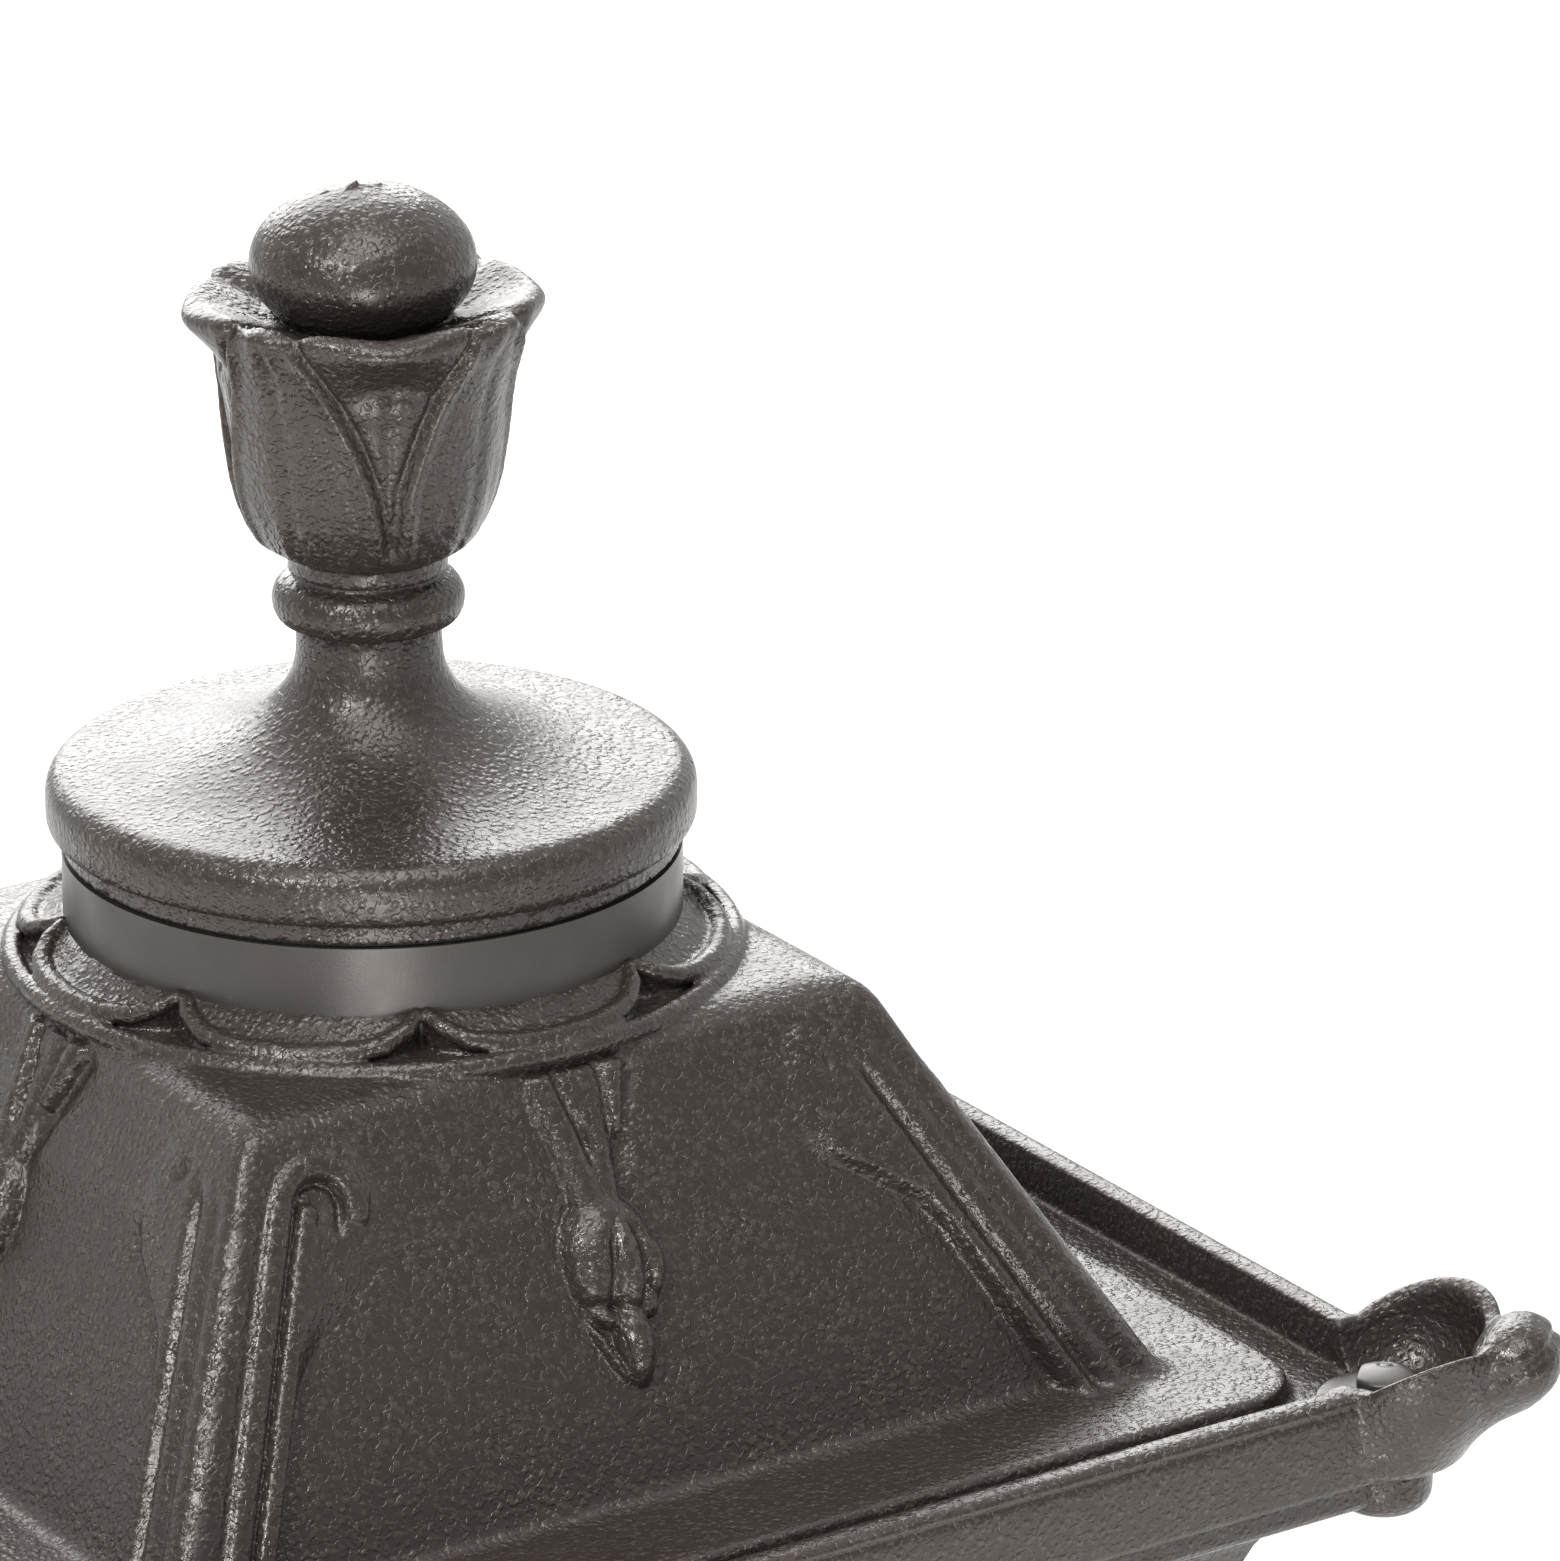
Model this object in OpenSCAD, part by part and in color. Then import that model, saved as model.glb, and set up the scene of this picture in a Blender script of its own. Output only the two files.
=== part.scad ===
// Square garden lantern for a post top, moulded in resin.
// A finial cap and a chimney collar stand on a hipped canopy. The canopy is held
// on a tapered glazed cage by four quarter-turn pegs, and the cage stands on a
// base with a post socket. The lampholder and bulb stand inside.
// Heights are measured from the foot of the post socket.

/* [Post socket and base] */
// Diameter of the post that the socket fits
post_d = 60; // [48:1:72]
// Gap between post and socket, on the radius
post_gap = 0.4; // [0.2:0.1:1]
// Wall of the socket sleeve
sleeve_wall = 4.6; // [3:0.1:8]
// Height of the socket up to the underside of the base floor
socket_h = 60; // [45:1:90]
// Outer width of the square base tray
tray_w = 158; // [140:1:190]
// Height of the tray's moulded edge
tray_h = 14; // [10:1:24]

/* [Cage] */
// Height of the cage from its foot to the top of its flange
cage_h = 198; // [150:1:260]
// Outer width of the glazed part at its foot
cage_foot_w = 144; // [120:1:164]
// Outer width of the glazed part under the cornice
cage_head_w = 196; // [170:1:204]
// Wall of the cage
cage_wall = 5.5; // [4:0.1:8]
// Width of the corner posts and rails beside each window
stile_w = 15; // [13:0.5:20]
// Height of the cove under the cage's flange
cove_h = 20; // [12:1:30]
// How far the flange stays inside the canopy's fascia
flange_inset = 3; // [1:0.5:8]
// Thickness of the glazing
glass_t = 2.5; // [2:0.1:4]
// Gap between the glazing and its frame
glass_gap = 0.3; // [0.2:0.05:0.6]

/* [Canopy brim] */
// Outer width of the brim
brim_w = 245; // [235:1:294]
// Depth of the fascia below the raised plate
fascia_drop = 11.5; // [10:0.5:16]
// Height of the rim above the raised plate
rim_rise = 4.3; // [2:0.1:8]
// Width of the rim's top strip
rim_t = 5; // [3.5:0.1:8]
// Depth of the gutter below the raised plate
gutter_d = 3.5; // [2:0.1:5]
// Width of the gutter
gutter_w = 10; // [6:0.5:14]
// Corner radius of the raised plate
plate_r = 14; // [6:1:24]
// Distance from each corner at which the rim stops
rim_stop = 27.5; // [22:0.5:36]
// Wall of the canopy moulding
skin = 2.8; // [2:0.1:4]

/* [Canopy roof] */
// Width of the roof where it stands on the plate
roof_foot_w = 176; // [150:1:190]
// Width of the roof's flat top
roof_top_w = 112; // [100:1:130]
// Height of the roof above the plate
roof_h = 63; // [40:1:90]
// Radius of the shoulder round the flat top
shoulder_r = 5; // [2:0.5:10]
// Depth of the recessed panel in each face
panel_d = 1.6; // [0.8:0.1:2]
// Width of the moulded band along each hip
hip_band = 17; // [10:0.5:24]
// Height of the frieze above each panel, measured up the slope
frieze_h = 23; // [12:1:32]
// Radius of the reeds beside each hip
reed_r = 2.1; // [1.2:0.1:3]

/* [Corner shells] */
// Radius of each side lobe
lobe_r = 16; // [13:0.5:20]
// Wall of the lobes
lobe_wall = 2.8; // [2:0.1:4]
// How far each lobe's centre lies inside the brim face that it bulges from
lobe_in = 3; // [0:0.5:6]
// How far each lobe's centre lies from the neighbouring brim face
lobe_along = 11.5; // [8:0.5:16]
// Rise of the lobe's lip for each millimetre outwards
lip_slope = 0.62; // [0.3:0.01:0.9]
// Radius of the curled leaf tip at the corner
curl_r = 7; // [4:0.5:9]

/* [Collar and cap] */
// Radius of the chimney collar
collar_r = 48.7; // [44:0.1:49]
// Height of the collar above the roof
collar_h = 17; // [10:0.5:30]
// Radius of the round cap
cap_r = 51; // [49.5:0.5:60]
// Depth of the cap's edge below its widest line
cap_skirt = 5.4; // [3:0.1:9]
// Radius of the cap's upper edge
cap_edge_r = 4.2; // [2:0.1:6]
// Height of the seal's groove between collar and cap
seal_h = 0.6; // [0.4:0.1:1.2]
// Radius of the finial's neck
neck_r = 11.4; // [9:0.1:14]
// Radius of the tulip's rim
tulip_r = 27.5; // [22:0.5:32]
// Height of the tulip from its foot ring to its rim
tulip_h = 41; // [32:1:52]
// Radius of the ball
ball_r = 17.6; // [14:0.1:20]
// Half height of the ball
ball_h = 12.2; // [9:0.1:16]

/* [Lock pegs] */
// Radius of the peg's disc
peg_disc_r = 10.7; // [9:0.1:11]
// Radius of the peg's button
peg_button_r = 5; // [4:0.1:7]
// Radius of the peg's shank
peg_shank_r = 3; // [2.5:0.1:4]
// Running gap round the shank
peg_gap = 0.08; // [0.05:0.01:0.1]
// Distance of the peg from both brim faces
peg_inset = 8.2; // [7:0.1:10]

/* [Lamp] */
// Radius of the bulb's globe
globe_r = 30; // [22:1:32]
// Length of the bulb with its cap
bulb_len = 112; // [95:1:120]
// Radius of the lampholder's body
holder_r = 21; // [18:0.5:24]
// Height of the lampholder's body
holder_h = 46; // [40:1:56]

/* [Hidden] */
$fn = 72;
// Overshoot of a cut past the face that it opens
eps = 0.01;
// Longer than the lantern in every direction
far = 400;

// Small gap between pieces that only rest or seat on each other
seat = 0.3;
// Gap round a screw's shank, on the radius
screw_gap = 0.05;
screw_r = 1.9;

resin = [0.27, 0.24, 0.23];
smooth_resin = [0.33, 0.30, 0.29];
black_rubber = [0.08, 0.08, 0.08];
clear_panel = [0.80, 0.88, 0.90, 0.4];
opal = [0.95, 0.94, 0.90];
steel = [0.65, 0.66, 0.68];
brass = [0.80, 0.66, 0.36];
porcelain = [0.90, 0.89, 0.85];

// Heights of the main levels
tray_z = socket_h;
floor_z = tray_z + tray_h;
gasket_t = 1.5;
cage_z = floor_z + gasket_t + 2 * seat;
flange_z = cage_z + cage_h;
parting_gap = 0.5;
plate_z = flange_z + parting_gap + fascia_drop;
gutter_z = plate_z - gutter_d;
roof_z = plate_z + roof_h;
collar_z = roof_z + collar_h;
cap_z = collar_z + seal_h;

brim_half = brim_w / 2;
plate_half = brim_half - rim_t - gutter_w;
roof_foot = roof_foot_w / 2;
roof_top = roof_top_w / 2;
peg_at = brim_half - peg_inset;

// Slope of the roof's faces
roof_angle = atan2(roof_h, roof_foot - roof_top);
face_len = roof_h / sin(roof_angle);
function roof_half(z, inset = 0) = roof_foot - (roof_foot - roof_top) * z / roof_h - inset / sin(roof_angle);

// Points along an arc, from one angle to another
function arc(cx, cy, r, from, to, n = 8) =
    [for (i = [0 : n]) let (a = from + (to - from) * i / n) [cx + r * cos(a), cy + r * sin(a)]];

// Points along a quarter of an oval, from its side to its top
function oval(cx, cy, rx, ry, from, to, n = 12) =
    [for (i = [0 : n]) let (a = from + (to - from) * i / n) [cx + rx * cos(a), cy + ry * sin(a)]];

// A half outline and its mirror image, joined to one closed outline
function both_sides(half) =
    concat(half, [for (i = [len(half) - 1 : -1 : 0]) [-half[i][0], half[i][1]]]);

// A solid that is square in plan at every height, from its half outline
module square_turned(half) {
    intersection() {
        rotate([90, 0, 0])
            linear_extrude(far, center = true)
                polygon(both_sides(half));
        rotate([90, 0, 90])
            linear_extrude(far, center = true)
                polygon(both_sides(half));
    }
}

module round_turned(points) {
    rotate_extrude()
        polygon(points);
}

// The front side, or the corner at its right end, and its three copies
module four_sides() {
    for (a = [0 : 90 : 270])
        rotate([0, 0, a])
            children();
}

module square_slab(half, height, r) {
    linear_extrude(height)
        rounded_square(half, r);
}

module rounded_square(half, r) {
    straight = half - r;
    square([2 * half, 2 * straight], center = true);
    square([2 * straight, 2 * half], center = true);
    for (x = [-straight, straight], y = [-straight, straight])
        translate([x, y])
            circle(r);
}

// Canopy roof
module roof_body(inset = 0) {
    n_z = cos(roof_angle);
    r = max(shoulder_r - inset, 0.5);
    top = roof_h - inset;
    arc_x = roof_half(top, inset) - r * (1 - n_z) / sin(roof_angle);
    half = concat(
        [[roof_half(-skin, inset), -skin]],
        arc(arc_x, top - r, r, 90 - roof_angle, 90, 6)
    );
    translate([0, 0, plate_z])
        square_turned(half);
}

// Face outline of the recessed panel, x across and y up the slope
panel_foot = roof_foot - hip_band;
panel_lean = (roof_foot - roof_top) / face_len;
panel_top = face_len - frieze_h;
panel_corner = 14;

module panel_outline(grow = 0) {
    corner_y = panel_top - panel_corner;
    corner_x = panel_foot - panel_lean * corner_y - 3;
    half = concat(
        [[panel_foot + grow, -8], [corner_x + grow, corner_y]],
        arc(corner_x - panel_corner + grow, corner_y, panel_corner, 15, 90, 6)
    );
    polygon(both_sides(half));
}

// Puts children, drawn across x and up y, on the roof's front face
module on_face(proud = 0) {
    translate([0, -roof_foot, plate_z])
        rotate([roof_angle, 0, 0])
            translate([0, 0, proud])
                children();
}

module panel_recesses() {
    four_sides()
        on_face(-panel_d)
            linear_extrude(2 * panel_d)
                panel_outline();
}

// Two reeds run down each side of every hip
reed_places = [5.2, 9.6];
reed_top = face_len - 11;

module reed(place) {
    foot_x = roof_foot - place;
    lean = atan(panel_lean);
    length = reed_top / cos(lean);
    on_face(-reed_r * 0.45)
        translate([foot_x, 0, 0])
            rotate([-90, 0, lean])
                translate([0, 0, -1])
                    cylinder(r = reed_r, h = length + 1, $fn = 16);
}

module reeds() {
    four_sides()
        for (place = reed_places) {
            reed(place);
            mirror([1, 0, 0])
                reed(place);
        }
}

// The drop ornament at the middle of each face: a fluted leaf that narrows to a
// waist, a lobed bud below it, and a tip
drop_sink = panel_d + 0.9;
waist_y = face_len - 24;
flute_l = 16;
flute_r = 3.2;
bud_lobe_r = 4.9;
tip_r = 3.2;

// A ball whose poles lie along the slope, inside the roof's wall
module bead_at(x, y, r) {
    translate([x, y, 0])
        rotate([90, 0, 0])
            sphere(r = r, $fn = 32);
}

module face_drop() {
    on_face(-drop_sink) {
        for (lean = [-15, -5, 5, 15])
            translate([0, waist_y, 0])
                rotate([0, 0, lean]) {
                    rotate([-90, 0, 0])
                        cylinder(r1 = 1.7, r2 = flute_r, h = flute_l, $fn = 24);
                    bead_at(0, flute_l, flute_r + 0.15);
                }
        for (place = [[-4, 9], [0, 10.5], [4, 9]])
            bead_at(place[0], waist_y - place[1], bud_lobe_r);
        bead_at(0, waist_y - 15, bud_lobe_r);
        translate([0, waist_y + 1, 0])
            rotate([90, 0, 0])
                cylinder(r1 = 2.4, r2 = bud_lobe_r - 0.4, h = 7, $fn = 24);
        translate([0, waist_y - 16, 0])
            rotate([90, 0, 0])
                cylinder(r1 = bud_lobe_r - 0.8, r2 = 1.6, h = 8, $fn = 24);
        bead_at(0, waist_y - 25, tip_r);
    }
}

// The moulded ring on the roof, round the foot of the collar
ring_r = collar_r + 8.1;
chimney_r = collar_r - 6.7;

module roof_ring() {
    inner = collar_r + seat;
    bead = 1.7;
    translate([0, 0, roof_z])
        round_turned(concat(
            [[inner, -skin], [inner, 6]],
            arc(inner + 1, 6, 1, 180, 40, 4),
            [[ring_r - 3, 2.6]],
            arc(ring_r - bead, 1, bead, 90, -60, 6),
            [[ring_r - 3.5, -skin]]
        ));
}

// Corner shells: a round pot that holds the peg's disc, two flared lobes that open
// from it over the brim's faces, and a curled leaf tip on the diagonal. Between
// the foot of a lobe and the end of the rim the gutter stays open as a drain.
pot_r = peg_disc_r + 0.2;
shell_foot = fascia_drop - 0.5;
shell_top = plate_z + 20;

module at_lobe() {
    translate([brim_half - lobe_in, -(brim_half - lobe_along), 0])
        children();
}

// A lobe's flare, from its foot inside the pot to its lip
function flare(r) = [
    [r - 6.5, gutter_z],
    [r - 4.2, plate_z],
    [r - 2, plate_z + 3.5],
    [r - 0.4, plate_z + 7.5],
    [r, plate_z + 12],
    [r, shell_top]
];

// Space above the lip, which is level over the rim and rises outside it
module above_lip() {
    translate([brim_half, -far / 2, plate_z + rim_rise])
        rotate([0, -atan(lip_slope), 0])
            translate([-3, 0, 0])
                cube([60, far, 60]);
    translate([brim_half - 60, -far / 2, plate_z + rim_rise])
        cube([60, far, 60]);
}

module lobe() {
    intersection() {
        difference() {
            at_lobe()
                round_turned(concat([[0, shell_top], [0, gutter_z]], flare(lobe_r)));
            above_lip();
        }
        translate([brim_half - rim_t, -far / 2, 0])
            cube([far, far, far]);
    }
}

module pot() {
    round_r = 4;
    out_r = pot_r + lobe_wall;
    foot = plate_z - shell_foot;
    difference() {
        translate([peg_at, -peg_at, 0])
            round_turned(concat(
                [[0, plate_z + rim_rise], [0, foot]],
                arc(out_r - round_r, foot + round_r, round_r, -90, 0, 5),
                [[out_r, plate_z + rim_rise]]
            ));
        translate([peg_at - 30, -peg_at + peg_inset - rim_t, gutter_z])
            cube([60, 40, 40]);
        translate([peg_at - peg_inset - 40 + rim_t, -peg_at - 30, gutter_z])
            cube([40, 60, 40]);
    }
}

// The leaf tip, rolled on the diagonal, and the keel that carries it
module leaf_curl() {
    reach = (peg_at + 16) * sqrt(2);
    curl_z = plate_z + 7.6;
    curl_w = 11;
    end_r = 4;
    keel_w = 10;
    rotate([0, 0, -45]) {
        translate([reach, 0, curl_z])
            rotate([90, 0, 0])
                round_turned(concat(
                    [[0, -curl_w / 2]],
                    arc(curl_r - end_r, -curl_w / 2 + end_r, end_r, -90, 0, 5),
                    arc(curl_r - end_r, curl_w / 2 - end_r, end_r, 0, 90, 5),
                    [[0, curl_w / 2]]
                ));
        translate([0, keel_w / 2, 0])
            rotate([90, 0, 0])
                linear_extrude(keel_w)
                    polygon([
                        [reach - 18, plate_z - shell_foot],
                        [reach - 10, plate_z - shell_foot],
                        [reach - 4.5, plate_z - 8.5],
                        [reach, plate_z - 3.5],
                        [reach + 1.8, plate_z + 0.9],
                        [reach + 1, curl_z + 3],
                        [reach - 6, plate_z + 8],
                        [reach - 18, gutter_z]
                    ]);
    }
}

// A lobe is hollow from just below the plate's level to its lip
module shell_inside() {
    inner_r = lobe_r - lobe_wall;
    hollow = [for (p = flare(inner_r)) if (p[1] > plate_z - 1) p];
    translate([peg_at, -peg_at, gutter_z])
        cylinder(r = pot_r, h = 40);
    at_lobe()
        round_turned(concat([[0, shell_top + 1], [0, plate_z - 0.5]], hollow, [[inner_r, shell_top + 1]]));
}

module corner_shell() {
    difference() {
        union() {
            pot();
            lobe();
            mirror([1, 1, 0])
                lobe();
            leaf_curl();
        }
        shell_inside();
        mirror([1, 1, 0])
            shell_inside();
    }
}

// Rim walls with round ends
module rim_walls() {
    half_len = brim_half - rim_stop;
    mid = brim_half - rim_t / 2;
    chamfer = 0.9;
    four_sides() {
        intersection() {
            translate([0, -mid, gutter_z - eps])
                linear_extrude(rim_rise + gutter_d + eps)
                    union() {
                        square([2 * half_len, rim_t], center = true);
                        for (x = [-half_len, half_len])
                            translate([x, 0])
                                circle(r = rim_t / 2);
                    }
            rotate([90, 0, 90])
                linear_extrude(far, center = true)
                    polygon([
                        [-brim_half - eps, gutter_z - 1],
                        [-brim_half - eps, plate_z + rim_rise - chamfer],
                        [-brim_half + chamfer, plate_z + rim_rise],
                        [0, plate_z + rim_rise],
                        [0, gutter_z - 1]
                    ]);
        }
    }
}

// Peg bosses carry the canopy on the cage's corner lugs
module peg_places() {
    four_sides()
        translate([peg_at, -peg_at, 0])
            children();
}

fascia_wall = 3;
brim_foot_z = plate_z - fascia_drop;

module brim_slab() {
    difference() {
        translate([0, 0, brim_foot_z])
            square_slab(brim_half, fascia_drop - gutter_d, 6);
        translate([0, 0, brim_foot_z - eps])
            square_slab(brim_half - fascia_wall, fascia_drop - gutter_d - skin + eps, 4);
    }
    translate([0, 0, gutter_z - skin])
        square_slab(plate_half, gutter_d + skin, plate_r);
}

module canopy_hollow() {
    translate([0, 0, gutter_z - skin - eps])
        square_slab(plate_half - skin, gutter_d + eps, plate_r - skin);
    roof_body(skin);
    translate([0, 0, plate_z])
        cylinder(r = chimney_r, h = 2 * roof_h);
}

module canopy() {
    boss_r = 8.5;
    color(resin)
        difference() {
            union() {
                difference() {
                    union() {
                        brim_slab();
                        difference() {
                            roof_body();
                            panel_recesses();
                        }
                        intersection() {
                            reeds();
                            roof_reach();
                        }
                        four_sides()
                            face_drop();
                        roof_ring();
                    }
                    canopy_hollow();
                }
                rim_walls();
                four_sides()
                    corner_shell();
                peg_places()
                    translate([0, 0, brim_foot_z])
                        cylinder(r = boss_r, h = fascia_drop - gutter_d);
            }
            peg_places()
                translate([0, 0, brim_foot_z - 1]) {
                    cylinder(r = peg_shank_r + peg_gap, h = fascia_drop + 2);
                    keyhole(fascia_drop + 2);
                }
        }
}

// Slot that the peg's foot passes when the peg is turned a quarter
module keyhole(height) {
    rotate([0, 0, 45])
        translate([-keyhole_l / 2, -keyhole_w / 2, 0])
            cube([keyhole_l, keyhole_w, height]);
}

// Space above the plate that the reeds may fill
module roof_reach() {
    translate([-far / 2, -far / 2, plate_z - 1])
        cube([far, far, roof_h]);
}

// Collar: a smooth ring that snaps into the roof and carries the cap
collar_wall = 3;
web_t = 3;
screw_ring_r = collar_r - 13.7;
web_r = screw_ring_r - 5;

module screw_ring() {
    for (a = [45 : 90 : 315])
        rotate([0, 0, a])
            translate([screw_ring_r, 0, 0])
                children();
}

module chimney_collar() {
    spigot_r = chimney_r - seat;
    spigot_wall = 2.4;
    foot_z = roof_z + seat;
    snap_z = roof_z - skin - 1.4;
    color(smooth_resin)
        difference() {
            round_turned([
                [spigot_r - spigot_wall, snap_z - 3],
                [spigot_r, snap_z - 3],
                [spigot_r + 0.8, snap_z],
                [spigot_r + 0.8, snap_z + 1],
                [spigot_r, snap_z + 1],
                [spigot_r, foot_z],
                [collar_r, foot_z],
                [collar_r, collar_z],
                [web_r, collar_z],
                [web_r, collar_z - web_t],
                [collar_r - collar_wall, collar_z - web_t],
                [collar_r - collar_wall, foot_z + collar_wall],
                [spigot_r - spigot_wall, foot_z + collar_wall]
            ]);
            screw_ring()
                translate([0, 0, collar_z - web_t - 1])
                    cylinder(r = screw_r + 0.3, h = web_t + 2);
        }
}

module cap_seal() {
    color(black_rubber)
        translate([0, 0, collar_z + seal_h * 0.1])
            difference() {
                cylinder(r = collar_r - 1, h = seal_h * 0.8);
                translate([0, 0, -1])
                    cylinder(r = collar_r - 4.2, h = 4);
            }
}

// Finial cap, turned as one outline: lip, cap, neck, bead, foot ring, tulip, ball
lip_h = 3.1;
cap_widest = cap_z + lip_h + cap_skirt;
cap_top = cap_widest + cap_edge_r;
flare_h = 18.7;
neck_z = cap_top + flare_h;
bead_r = 4.3;
bead_z = neck_z + 8;
foot_ring_z = bead_z + bead_r;
foot_ring_h = 4.5;
tulip_z = foot_ring_z + foot_ring_h;
rim_z = tulip_z + tulip_h;
ball_z = rim_z + 4.6;
gate_r = 3;
gate_h = 1.2;
cap_inner_top = cap_z + lip_h + 5.6;
boss_top = cap_inner_top + 0.5;

module finial_outline() {
    polygon(concat(
        [[collar_r - 5.5, cap_z], [collar_r - 0.3, cap_z], [collar_r - 0.3, cap_z + lip_h]],
        [[cap_r - 2, cap_z + lip_h]],
        arc(cap_r - 2, cap_z + lip_h + 2, 2, -90, 0, 4),
        arc(cap_r - cap_edge_r, cap_widest, cap_edge_r, 0, 90, 6),
        oval(cap_r - 6, neck_z, -(cap_r - 6 - neck_r), -(neck_z - cap_top), 90, 0, 14),
        arc(neck_r - 0.6, bead_z, bead_r, -80, 80, 10),
        [[neck_r - 0.8, foot_ring_z]],
        arc(neck_r - 0.6, foot_ring_z + 0.8, 0.8, -90, 0, 3),
        [[neck_r + 0.2, foot_ring_z + foot_ring_h - 0.4], [neck_r + 0.9, tulip_z]],
        [
            [neck_r + 4.6, tulip_z + 2.2],
            [neck_r + 7.3, tulip_z + 5.6],
            [neck_r + 8.8, tulip_z + 10.2],
            [neck_r + 10, tulip_z + 16],
            [neck_r + 11.1, tulip_z + 23.2],
            [tulip_r - 4, tulip_z + tulip_h * 0.7],
            [tulip_r - 2.7, tulip_z + tulip_h * 0.84],
            [tulip_r - 1.2, tulip_z + tulip_h * 0.94]
        ],
        arc(tulip_r - 1.1, rim_z - 0.4, 1.1, -10, 150, 5),
        [[tulip_r - 4.6, rim_z - 5.6], [ball_r - 2, rim_z - 6.2]],
        oval(0, ball_z, ball_r, ball_h, -45, 78, 14),
        [[gate_r, ball_z + ball_h - 0.3], [gate_r, ball_z + ball_h + gate_h], [0, ball_z + ball_h + gate_h]],
        [[0, cap_inner_top], [collar_r - 5.5, cap_inner_top]]
    ));
}

module finial_cap() {
    color(resin)
        difference() {
            union() {
                rotate_extrude($fn = 96)
                    finial_outline();
                screw_ring()
                    translate([0, 0, cap_z])
                        cylinder(r = 4.2, h = cap_inner_top - cap_z + 1);
            }
            screw_ring()
                translate([0, 0, cap_z - 1])
                    cylinder(r = screw_r + screw_gap, h = boss_top - cap_z);
        }
}

module pan_screw(length, head_r = 3.6, head_h = 2.2) {
    cylinder(r = screw_r, h = length);
    translate([0, 0, -head_h])
        difference() {
            cylinder(r = head_r, h = head_h);
            translate([0, 0, -eps])
                cylinder(r = 1.4, h = head_h * 0.5, $fn = 6);
        }
}

module cap_screws() {
    color(steel)
        screw_ring()
            translate([0, 0, collar_z - web_t - 0.05])
                pan_screw(9);
}

// Lock peg: disc, cut button, shank and cross foot
disc_t = 1.8;
button_h = 4.8;
lug_top_t = 2;
peg_foot_l = 11;
peg_foot_w = 3.8;
peg_foot_t = 2.2;
peg_disc_z = gutter_z + seat;
peg_foot_z = flange_z - lug_top_t - seat - peg_foot_t;
keyhole_l = peg_foot_l + 0.8;
keyhole_w = peg_foot_w + 0.8;

// At rest the button's flat looks at the lantern's middle
module lock_peg(corner) {
    flat_at = peg_button_r - 0.9;
    dome = 0.9;
    button_z = peg_disc_z + disc_t;
    color(smooth_resin)
        rotate([0, 0, corner * 90])
            translate([peg_at, -peg_at, 0])
                rotate([0, 0, -45]) {
                    translate([0, 0, peg_disc_z])
                        cylinder(r = peg_disc_r, h = disc_t);
                    difference() {
                        translate([0, 0, button_z - eps])
                            round_turned(concat(
                                [[0, 0], [peg_button_r, 0]],
                                arc(peg_button_r - dome, button_h - dome, dome, 0, 60, 4),
                                [[peg_button_r * 0.45, button_h - 0.1], [0, button_h]]
                            ));
                        translate([-flat_at - 10, -10, button_z])
                            cube([10, 20, button_h + 2]);
                    }
                    translate([0, 0, peg_foot_z])
                        cylinder(r = peg_shank_r, h = peg_disc_z - peg_foot_z + eps);
                    translate([-peg_foot_l / 2, -peg_foot_w / 2, peg_foot_z])
                        cube([peg_foot_l, peg_foot_w, peg_foot_t]);
                }
}

// Cage
cage_foot = cage_foot_w / 2;
cage_head = cage_head_w / 2;
ring_h = 9;
pane_z = cage_z + ring_h;
cove_z = flange_z - 6 - cove_h;
cage_rise = cove_z - pane_z;
cage_lean = atan2(cage_head - cage_foot, cage_rise);
ledge_w = 5;
ledge_z = pane_z + 0.7;
function cage_half(z, inset = 0) =
    cage_foot + (cage_head - cage_foot) * (z - pane_z) / cage_rise - inset / cos(cage_lean);

flange_half = brim_half - flange_inset;
curb_gap = 0.7;
curb_half = plate_half - skin - curb_gap;
curb_r = plate_r - skin - curb_gap;
curb_w = 4;
curb_z = plate_z - skin - gasket_t - 2 * seat;
// Round room in each lug in which the peg's foot turns
foot_room_r = norm([peg_foot_l, peg_foot_w]) / 2 + 0.4;
lug_r = foot_room_r + 1.8;
lug_drop = 8;

// Rounded lip under the flange, and the upright axis of the cove's curve
lip = 2.4;
cove_at = flange_half - lip;

module cage_outside() {
    square_turned(concat(
        [[cage_foot + 4, cage_z], [cage_foot + 4, cage_z + ring_h - 3]],
        arc(cage_foot + 1, cage_z + ring_h - 3, 3, 0, 90, 4),
        [[cage_half(pane_z + 0.5), pane_z + 0.5]],
        oval(cove_at, cove_z, cage_half(cove_z) - cove_at, cove_h, 0, 90, 10),
        arc(cove_at, flange_z - lip - 1, lip, -90, 0, 5),
        [[flange_half, flange_z]]
    ));
}

// The cove keeps one wall: inside, it runs up to the curb
module cage_inside() {
    curb_inner = curb_half - curb_w;
    reach = cage_half(cove_z, cage_wall) - cove_at;
    cove = [for (p = oval(cove_at, cove_z, reach, cove_h + cage_wall, 0, 90, 16)) if (p[0] < curb_inner) p];
    square_turned(concat(
        [
            [cage_foot - cage_wall - ledge_w, cage_z - 1],
            [cage_foot - cage_wall - ledge_w, ledge_z],
            [cage_half(ledge_z, cage_wall), ledge_z]
        ],
        cove,
        [[curb_inner, cove[len(cove) - 1][1] + 1], [curb_inner, flange_z + 20]]
    ));
}

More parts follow.
